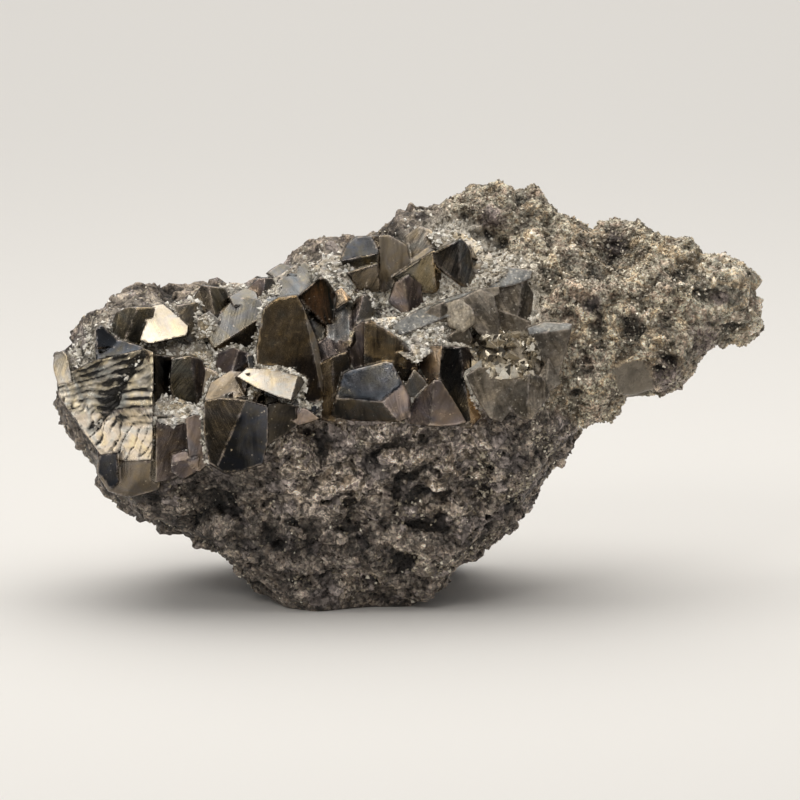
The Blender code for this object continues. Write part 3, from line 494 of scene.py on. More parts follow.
def makeCrystals(node, part, chosen, material, seed):
    dull = node == "right_crystals"
    chance = random.Random(seed)
    facets, owner, tree, ridges = part
    piece = nodeCopy(node + "_faces", node)
    addModifier(piece, "dense", "REMESH", {
        "mode": "SHARP", "octree_depth": crystals["fineness"], "scale": crystals["fill"],
        "sharpness": 1.0})
    bake(piece)
    mesh = piece.data
    rows = []
    for number, (normal, _) in enumerate(facets):
        name, colours, matt = tintOf((node, number), normal, chosen, chance)
        pair = faceAxes(normal, chance.uniform(-0.7, 0.7))
        shift = chance.uniform(0, 50), chance.uniform(0, 50)
        kind = chance.choice(("plain", "plain", "terraces", "furrows"))
        if name in crystals["smoothTints"]:
            kind = "plain"
        stripe = {"plain": 0.30, "terraces": 0.55, "furrows": 1.0}[kind]
        # each face is painted lighter towards one side, as a reflection would have it: a painted
        # reflection
        turn = chance.uniform(0, 2 * math.pi)
        side = pair[0] * math.cos(turn) + pair[1] * math.sin(turn)
        side *= chance.uniform(0.4, 1.0)
        for lighter in chosen.get((node, number), [name])[1:]:
            turn = math.radians(lighter)
            upward = math.sin(turn)
            side = Vector((math.cos(turn), upward * viewSine, upward * viewCosine))
        kind = "crust" if name == "crust" else kind
        rows.append((name, colours, matt, pair, shift, kind, stripe, side * crystals["paintedReflection"]))
    names, tints, matts, axes, shifts, kinds, stripes, paintedReflections = zip(*rows)
    tints = np.array(tints)

    def onFace(spot, facet):
        # how far a place is along and across the striations of its face
        return [spot.dot(axis) + shift for axis, shift in zip(axes[facet], shifts[facet])]

    # every small face belongs to the crystal face that it lies on
    home = np.empty(len(mesh.polygons), int)
    layer = mesh.uv_layers.new(name="striation")
    for polygon in mesh.polygons:
        facet = owner[tree.find_nearest(polygon.center)[2]]
        home[polygon.index] = facet
        for loop in polygon.loop_indices:
            spot = mesh.vertices[mesh.loops[loop].vertex_index].co / mm
            layer.data[loop].uv = onFace(spot, facet)

    points = vertexArray(mesh)
    moved = points.copy()
    wear = np.empty(len(points))
    light = np.zeros(len(points))
    crust = np.zeros(len(points))
    for i, point in enumerate(points):
        place = Vector(point)
        facet = owner[tree.find_nearest(place)[2]]
        normal = facets[facet][0]
        spot = place / mm
        edge = ridges.find(place)[2] / mm
        if names[facet] == "cleaved":
            height, light[i] = cleavage(spot)
        else:
            height = faceRelief(spot, *onFace(spot, facet), kinds[facet])
            # painted reflection, lighter towards one side of the face, with random clouds of tone
            lean = (spot - facets[facet][1] / mm).dot(paintedReflections[facet]) / crystals["paintedReflectionReach"]
            clouds = noise.noise(spot / 3.3 + normal * 9)
            if dull:
                clouds += 0.9 * noise.noise(spot / 0.9)
            light[i] = 0.42 + max(-0.50, min(0.55, lean)) + 0.40 * clouds
        height *= 0.35 + 0.65 * min(1.0, edge / 0.9)
        moved[i] = place + normal * (height * mm)
        crust[i] = kinds[facet] == "crust"
        wear[i] = max(0.0, 1 - edge / crystals["wornWidth"])
    setVertices(mesh, wornBack(mesh, moved, wear))
    mesh.shade_smooth()
    storeColours(mesh, "tint", tints[home, 0])
    storeColours(mesh, "sheen", tints[home, 1])
    storeFloats(mesh, "matt", np.array(matts)[home], "FACE")
    storeFloats(mesh, "striped", np.array(stripes)[home], "FACE")
    storeFloats(mesh, "wear", wear)
    storeFloats(mesh, "light", light)
    storeFloats(mesh, "crust", crust)
    mesh.materials.append(material)
    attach(piece, "root")
    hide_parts(node)
    print(f"{piece.name}: {len(facets)} faces, {len(mesh.polygons)} quads")
    return piece


def wornBack(mesh, points, wear):
    # edges drawn towards their neighbours' middle, more in some places than others
    ends = np.empty(len(mesh.edges) * 2, np.int32)
    mesh.edges.foreach_get("vertices", ends)
    first, last = ends.reshape(-1, 2).T
    chips = ramp(noiseOver(points, 2.2), -0.1, 0.5)
    amount = (wear * crystals["edgeWear"] * (0.55 + 0.45 * chips))[:, None]
    for _ in range(3):
        total = np.zeros_like(points)
        count = np.zeros(len(points))
        np.add.at(total, first, points[last])
        np.add.at(total, last, points[first])
        np.add.at(count, first, 1)
        np.add.at(count, last, 1)
        middle = total / np.maximum(count, 1)[:, None]
        points = points + (middle - points) * amount
    return points


def joined(name, things):
    whole = bmesh.new()
    for thing in things:
        whole.from_mesh(thing.data)
    mesh = bpy.data.meshes.new(name)
    whole.to_mesh(mesh)
    whole.free()
    return mesh


def distanceTo(trees, points, reach):
    # millimetres from each point to the nearest of some surfaces, 99 past the reach
    away = np.full(len(points), 99.0)
    for i, point in enumerate(points):
        for tree in trees:
            hit = tree.find_nearest(Vector(point), reach * mm)
            if hit[3] is not None:
                away[i] = min(away[i], hit[3] / mm)
    return away


# the rock

rock = {
    "voxel": 0.54,             # millimetres between the points of its mesh
    "triangles": 190000,
    "contact": 0.65,           # a crystal this near the rock is grown into it
    "bulge": 0.42,             # the rock closes the joint round a crystal by this
    "pull": 1.1,               # and stays this far behind its free faces
    # the relief, in millimetres: how wide its forms are, how much they lean and stand out
    "lumpSize": 6.5, "lumpHeight": 0.6,
    "flakeSize": 4.6, "flakeTilt": 0.55, "flakeStep": 0.40,
    "chipSize": 1.7, "chipTilt": 0.50, "chipStep": 0.14,
    "grainSize": 1.25, "grainTilt": 0.58, "grainStep": 0.26,
    "crackSize": 7.5, "crackDepth": 0.9,
    # where the places below shade into each other
    "wander": 3.0,
    # how far from a crystal the pale rubble reaches
    "rubbleReach": (1.2, 4.0),
    # smooth worn patches: across, up, radius
    "smooth": [(46.6, 46.8, 3.9)],
    # purplish patches of the lobe: across, up, radius
    "stains": [(43.6, 73.4, 3.0), (61.0, 53.5, 3.6), (54.0, 47.0, 3.6), (38.2, 61.2, 2.0),
               (17.5, 79.0, 3.4), (64.5, 63.5, 2.4)],
    # hollows: across, up, radius, depth
    "pits": [(54.6, 50.4, 2.2, 1.5), (52.0, 48.6, 1.3, 1.0), (57.5, 52.2, 1.2, 0.9),
             (16.8, 75.6, 3.0, 1.2), (20.5, 74.2, 1.8, 1.0), (28.8, 68.6, 1.5, 1.2),
             (35.4, 43.8, 2.0, 1.2), (44.5, 66.5, 1.6, 0.8), (-10.0, 21.6, 2.0, 1.2),
             (4.0, 23.8, 2.4, 1.2), (8.0, 19.0, 1.8, 1.1), (-24.0, 13.4, 2.0, 0.9)],
    # where the front contact of the crystals runs: across, up
    "contactLine": [(-72, 54), (-66, 48), (-61, 38), (-58, 28), (-50, 25), (-38, 28), (-27, 30),
                    (-20, 38), (0, 38), (28, 39), (36, 45)],
}


def contactCopy(node, trees):
    # a crystal cluster with its seated sides swollen and its free faces drawn in
    piece = nodeCopy(node + "_bed", node)
    addModifier(piece, "dense", "REMESH", {"mode": "VOXEL", "voxel_size": rock["voxel"] * mm})
    bake(piece)
    mesh = piece.data
    points = vertexArray(mesh)
    normals = vertexArray(mesh, "normal")
    near = distanceTo([trees[other] for other in trees if other != node], points, 3)
    seated = 1 - ramp(near, rock["contact"], rock["contact"] + 0.5)
    offset = seated * rock["bulge"] - (1 - seated) * rock["pull"]
    setVertices(mesh, points + normals * (offset * mm)[:, None])
    return piece


def regionsOf(points, fromCrystals):
    # how much a place belongs to the sugary right lobe, to the pale rubble between the
    # crystals, to the pinkish rim behind them and to the smaller patches
    across, up, back = whereSeen(points)
    wander = noiseOver(points, 5) * rock["wander"]
    lobe = ramp(across + wander, 3, 12) * ramp(up + 0.30 * across + wander, 46, 52)
    lobe = np.maximum(lobe, ramp(across + wander, 24, 31) * ramp(up + wander, 37, 42))
    line = np.interp(across, *zip(*rock["contactLine"]))
    rubble = (1 - ramp(fromCrystals, *rock["rubbleReach"])) * ramp(up - line, 0.6, 3.5)
    rubble = rubble * (1 - ramp(across, 24, 32))
    rim = ramp(up - 0.28 * across, 70, 77) * (1 - lobe)
    rubble = rubble * (1 - 0.85 * rim)
    ragged = noiseOver(points, 1.6) * 0.45
    ragged += wander / 3 * 0.5
    facing = ramp(-back, -45, -30)

    def apart(x, z, radius, flatness=1.0):
        # how far away a place is, in its own radii
        return np.hypot(across - x, (up - z) * flatness) / radius

    smooth, stain, pit = np.zeros((3, len(points)))
    for x, z, radius in rock["smooth"]:
        smooth = np.maximum(smooth, 1 - ramp(apart(x, z, radius) + 0.6 * ragged, 0.85, 1.1))
    for x, z, radius in rock["stains"]:
        stain = np.maximum(stain, 1 - ramp(apart(x, z, radius) + ragged, 0.6, 1.2))
    for x, z, radius, depth in rock["pits"]:
        pit = np.maximum(pit, depth * (1 - ramp(apart(x, z, radius, 1.5) + ragged, 0.3, 1.1)))
    tip = ramp(across + wander, 55, 64) * lobe
    # paler and pinker just under the crystals
    bloom = ramp(across + wander, -32, -18) * (1 - ramp(across + wander, 12, 24))
    bloom = bloom * ramp(up + wander, 17, 27)
    dim = (1 - lobe) * (1 - rim) * (1 - ramp(across + wander, -34, -22)) * facing
    dim = np.maximum(dim, 0.45 * lobe * ramp(up + wander, 75, 81))
    return {"lobe": lobe, "rubble": rubble, "rim": rim, "tip": tip, "bloom": bloom * (1 - lobe),
            "dim": dim, "smooth": smooth * facing, "pit": pit * facing, "stain": stain * facing}


def flakes(place, size, tilt, step):
    # broken faces: each cell of the pattern leans and stands its own way
    _, corners = noise.voronoi(place / size)
    centre = corners[0]
    lean = noise.cell_vector(centre * 37.3) * 2 - Vector((1, 1, 1))
    slope = (place / size - centre).dot(lean) * tilt * size * 0.5
    return slope + noise.cell(centre * 21.7) * step


def rockRelief(place, lobe, rubble, smooth):
    # height of the surface at a place, in millimetres
    bent = place + 0.9 * noise.noise_vector(place / 2.5)
    sugar = max(lobe, rubble)
    height = noise.fractal(place / rock["lumpSize"], 0.9, 2.1, 3) * rock["lumpHeight"]
    height *= 1 + 0.7 * lobe
    if sugar < 0.98:
        flat = Vector((bent.x * 0.62, bent.y, bent.z * 1.15))
        broken = flakes(flat, rock["flakeSize"], rock["flakeTilt"], rock["flakeStep"])
        broken += flakes(bent, rock["chipSize"], rock["chipTilt"], rock["chipStep"])
        line = abs(noise.noise(bent / rock["crackSize"] + Vector((3, 9, 5))))
        broken -= max(0.0, 1 - line / 0.035) * rock["crackDepth"]
        height += (1 - sugar) * broken
    if sugar > 0.02:
        grain = flakes(place, rock["grainSize"], rock["grainTilt"], rock["grainStep"])
        broad = flakes(bent, 0.8 * rock["flakeSize"], 0.8 * rock["flakeTilt"], rock["flakeStep"])
        height += sugar * (grain + broad)
    return height * (1 - 0.8 * smooth)


def makeRock(material):
    trees = {}
    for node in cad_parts:
        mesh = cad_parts[node].data
        trees[node] = BVHTree.FromPolygons([v.co.copy() for v in mesh.vertices],
                                           [tuple(p.vertices) for p in mesh.polygons])
    piece = nodeCopy("matrix_rock", "matrix")
    beds = [contactCopy(node, trees) for node in crystalNodes]
    piece.data = joined("bedded", [piece, *beds])
    for bed in beds:
        bpy.data.objects.remove(bed)
    addModifier(piece, "dense", "REMESH", {"mode": "VOXEL", "voxel_size": rock["voxel"] * mm})
    addModifier(piece, "soften", "SMOOTH", {"factor": 0.5, "iterations": 3})
    bake(piece)
    mesh = piece.data

    points = vertexArray(mesh)
    normals = vertexArray(mesh, "normal")
    away = distanceTo([trees[node] for node in crystalNodes], points, 6)
    regions = regionsOf(points, away)
    height = np.empty(len(points))
    for i, point in enumerate(points):
        softness = [regions[key][i] for key in ("lobe", "rubble", "smooth")]
        height[i] = rockRelief(Vector(point) / mm, *softness)
    height -= regions["pit"]
    height *= 0.25 + 0.75 * ramp(away, 0.3, 2.2)
    height *= ramp(points[:, 2] / mm, 0.3, 3.0)
    points = points + normals * (height * mm)[:, None]
    points[:, 2] = np.maximum(points[:, 2], 0)
    setVertices(mesh, points)
    mesh.shade_smooth()
    for key, values in regions.items():
        storeFloats(mesh, key, values)
    storeFloats(mesh, "height", height)

    # fewer faces where they are hidden: at the back, and behind the crystals
    spare = piece.vertex_groups.new(name="detail")
    across, up, back = whereSeen(points)
    detail = (1 - 0.85 * ramp(back - 0.25 * up, 12, 26)) * (0.3 + 0.7 * ramp(away, 0.5, 0.9))
    for level in range(11):
        chosenPoints = np.nonzero(np.round(detail * 10) == level)[0]
        spare.add([int(i) for i in chosenPoints], level / 10, "REPLACE")
    addModifier(piece, "fewer", "DECIMATE", {
        "ratio": rock["triangles"] / (2 * len(mesh.polygons)), "vertex_group": "detail",
        "invert_vertex_group": True, "vertex_group_factor": 1.0})
    bake(piece)
    piece.vertex_groups.clear()
    mesh = piece.data
    mesh.materials.append(material)
    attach(piece, "root")
    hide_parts("matrix")
    print(f"{piece.name}: {len(mesh.polygons)} faces")
    return piece


rockLook = {
    "hollow": (0.020, 0.017, 0.015),
    "shadow": (0.060, 0.051, 0.046),
    "purple": (0.165, 0.140, 0.134),
    "brown": (0.140, 0.110, 0.083),
    "green": (0.150, 0.158, 0.142),
    "pink": (0.38, 0.325, 0.308),
    "taupe": (0.250, 0.215, 0.168),
    "sand": (0.44, 0.390, 0.310),
    "pale": (0.74, 0.69, 0.60),
    "worn": (0.205, 0.174, 0.132),
    "flake": (0.34, 0.295, 0.280),
    "lean": 0.75,              # how far the chips lean
    # multiplied over the lobe, and over all but the rubble
    "cast": [(0.38, (1.06, 0.96, 0.95)), (0.46, (0.98, 1.0, 1.03)), (0.50, (0.88, 0.99, 1.02)),
             (0.56, (1.04, 0.98, 0.90)), (0.62, (1.08, 0.99, 0.86))],
    "patches": [(0.36, (0.74, 0.70, 0.665)), (0.48, (1.12, 1.08, 1.03)), (0.62, (1.50, 1.44, 1.34))],
}


def rockMaterial(name):
    look = rockLook
    paint = Shading(name)
    ranged, mixed, noiseAt = paint.ranged, paint.mixed, paint.noiseAt
    region = {key: paint.attribute(key) for key in (
        "lobe", "rubble", "rim", "tip", "bloom", "dim", "smooth", "stain", "height")}

    def banded(value, *stops):
        # a ramp of the rock's own colours: place, name, place, name
        return paint.banded(value, [(at, look[key]) for at, key in zip(stops[::2], stops[1::2])])

    def fading(value, first, last):
        return ranged(value, 0.0, 1.0, first, last)

    def chips(scale, ragged):
        # small broken faces with ragged borders: where they are looked up, their cells,
        # and a value for each cell
        stir = paint.add("ShaderNodeTexNoise", inputs={
            "Vector": paint.place, "Scale": scale * 1.6, "Detail": 2.0}).outputs["Color"]
        bent = paint.vectorMaths("MULTIPLY_ADD", stir, (ragged / scale,) * 3, paint.place)
        cells = paint.add("ShaderNodeTexVoronoi", inputs={"Vector": bent, "Scale": scale}).outputs
        split = paint.add("ShaderNodeSeparateColor", inputs={0: cells["Color"]})
        return bent, cells, split.outputs[0]

    # the lower wedge: mottled purple, brown and greenish grey with paler veins
    flow = noiseAt(260.0, 9.0, 0.70, 2.2)
    fine = noiseAt(1500.0, 5.0, 0.74, 0.6)
    wedge = banded(flow, 0.36, "shadow", 0.42, "brown", 0.47, "purple", 0.51, "green",
                   0.55, "purple", 0.59, "shadow", 0.62, "pink", 0.66, "brown")
    wedgeFine = banded(fine, 0.40, "hollow", 0.46, "purple", 0.57, "taupe", 0.65, "pale")
    veins = banded(noiseAt(210.0, 7.0, 0.62, 3.0), 0.40, "brown", 0.47, "taupe", 0.50, "pink",
                   0.53, "pale", 0.55, "pink", 0.60, "purple")
    wedge = mixed(0.5, wedge, wedgeFine)
    wedge = mixed(fading(region["bloom"], 0.08, 0.70), wedge, veins)
    # the lobe: sugary warm grey, browner or cooler in places, pale at its tip
    sugar = banded(fine, 0.34, "shadow", 0.42, "brown", 0.47, "taupe", 0.54, "sand", 0.66, "pale")
    tipped = banded(fine, 0.36, "taupe", 0.48, "sand", 0.60, "pale")
    sugar = mixed(region["tip"], sugar, tipped)
    cast = paint.banded(noiseAt(170.0, 6.0, 0.7, 1.6), look["cast"])
    sugar = mixed(1.0, sugar, cast, "MULTIPLY")
    stained = banded(fine, 0.36, "shadow", 0.48, "purple", 0.60, "pink")
    sugar = mixed(region["stain"], sugar, stained)
    # the rim behind the crystals and the rubble between them
    rim = banded(fine, 0.40, "purple", 0.55, "taupe", 0.70, "pink")
    rubble = banded(fine, 0.35, "brown", 0.42, "sand", 0.48, "pale")
    patches = paint.banded(noiseAt(130.0, 4.0, 0.6, 0.7), look["patches"])
    colour = mixed(region["lobe"], wedge, sugar)
    colour = mixed(region["rim"], colour, rim)
    colour = mixed(1.0, colour, patches, "MULTIPLY")
    colour = mixed(region["rubble"], colour, rubble)
    # some larger flakes of the wedge are paler and smoother, with dark cracks round them
    slabScale = 330.0
    slabPlace, slabCells, slabs = chips(slabScale, 1.1)
    crack = paint.add("ShaderNodeTexVoronoi", {"feature": "DISTANCE_TO_EDGE"},
                      {"Vector": slabPlace, "Scale": slabScale}).outputs["Distance"]
    plain = paint.maths("SUBTRACT", 1.0, region["lobe"], True)
    flaky = paint.maths("MULTIPLY", plain, ranged(slabs, 0.80, 0.84, 0.0, 0.7))
    colour = mixed(flaky, colour, banded(flow, 0.40, "purple", 0.60, "flake"))
    colour = mixed(plain, colour, ranged(crack, 0.0, 0.09, 0.30, 1.0), "MULTIPLY")
    # lighter and darker chips
    _, largeCells, largeChips = chips(620.0, 0.9)
    _, smallCells, smallChips = chips(1500.0, 0.8)
    strength = fading(region["lobe"], 1.0, 0.6)
    colour = mixed(strength, colour, fading(largeChips, 0.50, 1.60), "MULTIPLY")
    strength = paint.maths(
        "MULTIPLY", fading(region["lobe"], 1.0, 0.35), fading(region["rim"], 1.0, 0.4))
    colour = mixed(strength, colour, fading(smallChips, 0.35, 1.85), "MULTIPLY")
    # dimmer parts, worn patches, and painted shade in the hollows with painted light on the ridges
    colour = mixed(1.0, colour, fading(region["dim"], 1.0, 0.62), "MULTIPLY")
    colour = mixed(region["smooth"], colour, banded(fine, 0.34, "taupe", 0.60, "worn"))
    # painted shade and light: darker where the surface lies low, lighter where it stands up
    colour = mixed(1.0, colour, ranged(region["height"], -0.9, 0.7, 0.13, 1.68), "MULTIPLY")

    # each chip leans its own way, so that it catches the light apart from the rest
    straight = paint.add("ShaderNodeNewGeometry").outputs["Normal"]
    normal = straight
    for cells, share in ((slabCells, 0.6), (largeCells, 1.0), (smallCells, 1.0)):
        lean = look["lean"] * share
        tilt = paint.vectorMaths("MULTIPLY_ADD", cells["Color"], (lean,) * 3, (-lean / 2,) * 3)
        normal = paint.vectorMaths("ADD", normal, tilt)
    level = paint.add("ShaderNodeMix", {"data_type": "VECTOR"},
                      {0: region["smooth"], 4: normal, 5: straight})
    normal = paint.vectorMaths("NORMALIZE", level.outputs[1])
    for height, strength, millimetres, invert in (
            (slabs, 0.25, 0.4, False), (largeCells["Distance"], 0.45, 0.9, True),
            (largeChips, 0.30, 0.25, False), (smallChips, 0.5, 0.2, False),
            (flow, 0.4, 1.0, False), (fine, 0.7, 0.45, False)):
        normal = paint.bump(height, strength, millimetres, normal, invert)
    return paint.dress({"Base Color": colour, "Normal": normal,
                        "Roughness": fading(smallChips, 0.24, 0.60), "Metallic": 0.25})


# grains

grains = {
    "lobe": {
        "seed": 5, "perSquareCm": 150.0, "small": 0.35, "large": 1.0,
        "material": "lobeGrains", "metallic": 0.55, "roughness": 0.34,
        "tones": [(0.0, (0.13, 0.113, 0.090)), (0.35, (0.30, 0.262, 0.208)),
                  (0.75, (0.49, 0.435, 0.345)), (0.96, (0.88, 0.82, 0.70))],
    },
    "valley": {
        "seed": 8, "perSquareCm": 240.0, "small": 0.4, "large": 1.35,
        "material": "valleyGrains", "metallic": 0.1, "roughness": 0.35,
        "tones": [(0.0, (0.12, 0.107, 0.088)), (0.2, (0.50, 0.455, 0.37)),
                  (0.4, (0.88, 0.84, 0.75)), (1.0, (1.0, 0.97, 0.90))],
    },
    "speck": {
        "seed": 11, "perSquareCm": 140.0, "small": 0.3, "large": 0.95,
        "material": "wedgeGrains", "metallic": 0.55, "roughness": 0.34,
        "tones": [(0.0, (0.16, 0.135, 0.100)), (0.5, (0.46, 0.40, 0.30)), (1.0, (0.95, 0.89, 0.75))],
    },
    "tetrahedra": {
        "seed": 14, "perSquareCm": 120.0, "small": 1.3, "large": 3.8,
        "material": "hollowTetrahedra", "metallic": 0.6, "roughness": 0.20,
        "tones": [(0.0, (0.11, 0.103, 0.090)), (0.25, (0.36, 0.31, 0.235)),
                  (0.5, (0.74, 0.66, 0.52)), (1.0, (0.97, 0.92, 0.81))],
    },
}
# the hollow that small tetrahedra line, as it is seen
hollow = {"across": 21.2, "up": 51.6, "halfWidth": 7.6, "halfHeight": 5.0}
shapeCount = 5

octahedron = ((1, 0, 0), (-1, 0, 0), (0, 1, 0), (0, -1, 0), (0, 0, 1), (0, 0, -1))
tetrahedron = ((1, 1, 1), (1, -1, -1), (-1, 1, -1), (-1, -1, 1))


def shapesFrom(name, corners, low, high, bend):
    # a few broken copies of a solid for the grains to be copied from
    chance = random.Random(3)
    collection = bpy.data.collections.new(name)
    for number in range(shapeCount):
        bm = bmesh.new()
        for corner in corners:
            off = Vector([chance.uniform(-bend, bend) for _ in range(3)])
            bm.verts.new(Vector(corner) * chance.uniform(low, high) + off)
        bmesh.ops.convex_hull(bm, input=bm.verts)
        mesh = bpy.data.meshes.new(f"{name}{number}")
        bm.to_mesh(mesh)
        bm.free()
        collection.objects.link(bpy.data.objects.new(mesh.name, mesh))
    return collection


def grainNodes(shapes):
    group = bpy.data.node_groups.new("grains", "GeometryNodeTree")
    for name, kind in (("Geometry", "Geometry"), ("Weight", "String"), ("Density", "Float"),
                       ("Smallest", "Float"), ("Largest", "Float"), ("Seed", "Int"),
                       ("Material", "Material")):
        group.interface.new_socket(name, in_out="INPUT", socket_type="NodeSocket" + kind)
    group.interface.new_socket("Geometry", in_out="OUTPUT", socket_type="NodeSocketGeometry")

    def add(kind, inputs, **settings):
        return addNode(group, kind, settings, inputs).outputs

    given = add("NodeGroupInput", {})
    weight = add("GeometryNodeInputNamedAttribute", {"Name": given["Weight"]}, data_type="FLOAT")
    density = add("ShaderNodeMath", {0: weight["Attribute"], 1: given["Density"]}, operation="MULTIPLY")
    scatter = add("GeometryNodeDistributePointsOnFaces", {
        "Mesh": given["Geometry"], "Density": density[0], "Seed": given["Seed"]})
    source = add("GeometryNodeCollectionInfo", {"Collection": shapes, "Separate Children": True})
    turn = add("FunctionNodeRandomValue", {0: (0, 0, 0), 1: (6.28, 6.28, 6.28), "Seed": given["Seed"]},
               data_type="FLOAT_VECTOR")
    # most grains are small
    even = add("FunctionNodeRandomValue", {2: 0.0, 3: 1.0, "Seed": 77}, data_type="FLOAT")
    uneven = add("ShaderNodeMath", {0: even[1], 1: 2.2}, operation="POWER")
    size = add("ShaderNodeMapRange", {
        "Value": uneven[0], "To Min": given["Smallest"], "To Max": given["Largest"]})
    copies = add("GeometryNodeInstanceOnPoints", {
        "Points": scatter["Points"], "Instance": source["Instances"], "Pick Instance": True,
        "Rotation": turn[0], "Scale": size["Result"]})
    tone = add("FunctionNodeRandomValue", {2: 0.0, 3: 1.0, "Seed": 21}, data_type="FLOAT")
    stored = add("GeometryNodeStoreNamedAttribute", {
        "Geometry": copies["Instances"], "Name": "tone", "Value": tone[1]},
        data_type="FLOAT", domain="INSTANCE")
    real = add("GeometryNodeRealizeInstances", {"Geometry": stored["Geometry"]})
    dressed = add("GeometryNodeSetMaterial", {
        "Geometry": real["Geometry"], "Material": given["Material"]})
    add("NodeGroupOutput", {"Geometry": dressed["Geometry"]})
    return group


def grainMaterial(look):
    if look["material"] in bpy.data.materials:
        return bpy.data.materials[look["material"]]
    paint = Shading(look["material"])
    wear = paint.noiseAt(2500.0, 3.0)
    colour = paint.banded(paint.attribute("tone"), look["tones"])
    return paint.dress({
        "Base Color": paint.mixed(1.0, colour, paint.ranged(wear, 0.3, 0.7, 0.8, 1.15), "MULTIPLY"),
        "Normal": paint.bump(wear, 0.3, 0.15),
        "Roughness": look["roughness"], "Metallic": look["metallic"]})


def scatterGrains(name, group, bed, weights, look):
    mesh = bed.copy()
    mesh.name = name
    storeFloats(mesh, "grainWeight", weights)
    piece = addObject(name, mesh)
    modifier = piece.modifiers.new("grains", "NODES")
    modifier.node_group = group
    given = {"Weight": "grainWeight", "Density": look["perSquareCm"] * 1e4,
             "Smallest": look["small"] * mm, "Largest": look["large"] * mm,
             "Seed": look["seed"], "Material": grainMaterial(look)}
    for item in group.interface.items_tree:
        if item.name in given:
            modifier[item.identifier] = given[item.name]
    bake(piece)
    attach(piece, "root")
    print(f"{name}: {len(piece.data.polygons)} faces")


def makeGrains(bed, clusters):
    mesh = bed.data
    values = {key: readFloats(mesh, key) for key in ("lobe", "rubble", "smooth", "pit")}
    points = vertexArray(mesh)
    across, up, back = whereSeen(points)
    frontish = 1 - ramp(back - 0.35 * up, 8, 18)
    patches = noiseOver(points, 6)
    group = grainNodes(shapesFrom("grainShape", octahedron, 0.35, 0.6, 0.17))
    rough = (1 - values["smooth"]) * (1 - np.minimum(1, values["pit"]))
    lobe = values["lobe"] * frontish * rough * (0.3 + 0.7 * ramp(patches, -0.35, 0.2))
    rubble = values["rubble"] * (1 - 0.7 * values["lobe"]) * frontish
    wedge = (1 - values["lobe"]) * ramp(patches, -0.05, 0.35) * (0.3 + 0.9 * ramp(across, -15, 25))
    wedge = wedge * ramp(points[:, 2] / mm, 1.0, 2.5) * frontish
    scatterGrains("lobe_grains", group, mesh, lobe, grains["lobe"])
    scatterGrains("wedge_specks", group, mesh, wedge, grains["speck"])
    scatterGrains("valley_grains", group, mesh, rubble, grains["valley"])
    # crusts and the lined hollow are on the crystals
    crusted = joined("crusted", clusters)
    front = vertexArray(crusted, "normal")[:, 1] < 0.35
    crust = readFloats(crusted, "crust") * front
    scatterGrains("crust_grains", group, crusted, crust, grains["valley"])
    across, up, back = whereSeen(vertexArray(crusted))
    inside = np.hypot((across - hollow["across"]) / hollow["halfWidth"],
                      (up - hollow["up"]) / hollow["halfHeight"])
    lining = (1 - ramp(inside, 0.8, 1.05)) * front * (back < 30)
    solid = grainNodes(shapesFrom("tetrahedronShape", tetrahedron, 0.24, 0.34, 0.04))
    scatterGrains("hollow_tetrahedra", solid, crusted, lining, grains["tetrahedra"])


# the stage

stageLook = {
    "floor": (0.82, 0.81, 0.79), "floorRoughness": 0.75,
    "floorLeft": -0.9, "floorRight": 0.45, "floorFront": -0.27, "floorBack": 2.2,
    "horizon": (0.10, 0.10, 0.105),
    "zenith": (0.42, 0.41, 0.40),
    "lampColour": (1.0, 0.965, 0.91),
    "topLight": {"place": (0.0, 0.03, 0.55), "size": (0.75, 0.6),
                 "watts": 2.5, "aim": (0, 0, 0.04)},
    "frontLight": {"place": (-0.35, -0.75, 0.62), "size": (0.35, 0.25),
                   "watts": 1.6, "aim": (0, 0, 0.04)},
    "leftLight": {"place": (-0.55, -0.12, 0.06), "size": (0.34, 0.22),
                  "watts": 0.42, "aim": (0, -0.01, 0.045)},
    "farLight": {"place": (0.0, 1.1, 0.9), "size": (1.2, 1.0),
                 "watts": 6.0, "aim": (0, 1.2, 0.0)},
}


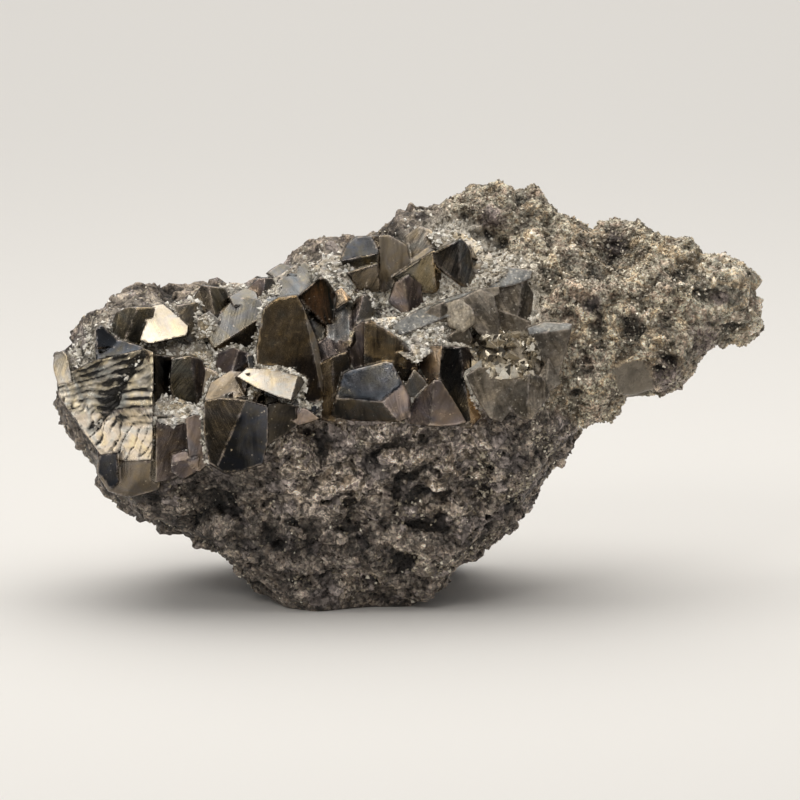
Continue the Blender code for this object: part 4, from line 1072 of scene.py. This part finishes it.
def makeStage():
    look = stageLook
    mesh = bpy.data.meshes.new("floor")
    mesh.from_pydata([
        (look["floorLeft"], look["floorFront"], 0), (look["floorRight"], look["floorFront"], 0),
        (look["floorRight"], look["floorBack"], 0), (look["floorLeft"], look["floorBack"], 0),
    ], [], [(0, 1, 2, 3)])
    floor = addObject("floor", mesh)
    mesh.materials.append(Shading("floorPaper").dress({
        "Base Color": (*look["floor"], 1), "Roughness": look["floorRoughness"]}))

    world = bpy.data.worlds.new("studio")
    bpy.context.scene.world = world
    world.use_nodes = True
    tree = world.node_tree
    direction = addNode(tree, "ShaderNodeTexCoord").outputs["Generated"]
    split = addNode(tree, "ShaderNodeSeparateXYZ", None, {0: direction})
    height = addNode(tree, "ShaderNodeMapRange", None, {
        "Value": split.outputs["Z"], "From Min": 0.0, "From Max": 0.75}).outputs["Result"]
    sky = colourRamp(tree, height, [(0.0, look["horizon"]), (1.0, look["zenith"])])
    tree.links.new(sky, tree.nodes["Background"].inputs["Color"])

    for name in ("topLight", "frontLight", "leftLight", "farLight"):
        setting = look[name]
        light = bpy.data.lights.new(name, "AREA")
        light.shape = "RECTANGLE"
        light.size, light.size_y = setting["size"]
        light.energy = setting["watts"]
        light.color = look["lampColour"]
        lamp = addObject(name, light)
        lamp.location = setting["place"]
        way = Vector(setting["aim"]) - Vector(setting["place"])
        lamp.rotation_euler = way.to_track_quat("-Z", "Y").to_euler()


camera = {
    "distance": 1.5,
    "millimetresAcross": 160.0,    # what the frame takes in at the crystals
    "aim": (0.0, 42.4, 4.0),
    "sensor": 36.0,
    "farthest": 20.0,
}


def makeCamera():
    data = bpy.data.cameras.new("camera")
    thing = addObject("camera", data)
    thing.location = fromSeen(*camera["aim"]) + toViewer * camera["distance"]
    thing.rotation_euler = (math.pi / 2 - view["drop"], 0, 0)
    data.sensor_width = camera["sensor"]
    data.lens = camera["sensor"] * camera["distance"] / (camera["millimetresAcross"] * mm)
    data.clip_end = camera["farthest"]
    bpy.context.scene.camera = thing


shinyMaterial = crystalMaterial("tetrahedrite", "shiny")
dullMaterial = crystalMaterial("dullTetrahedrite", "dull")
parts = {node: facetsOf(weldedMesh(node, node)) for node in crystalNodes}
chosen = chosenFaces(parts)
clusters = []
for number, node in enumerate(crystalNodes):
    material = dullMaterial if node == "right_crystals" else shinyMaterial
    clusters.append(makeCrystals(node, parts[node], chosen, material, crystals["seed"] + number))
makeGrains(makeRock(rockMaterial("ore")), clusters)
makeStage()
makeCamera()
bpy.context.scene.view_settings.view_transform = "Standard"
print("the stage and the camera are in place")
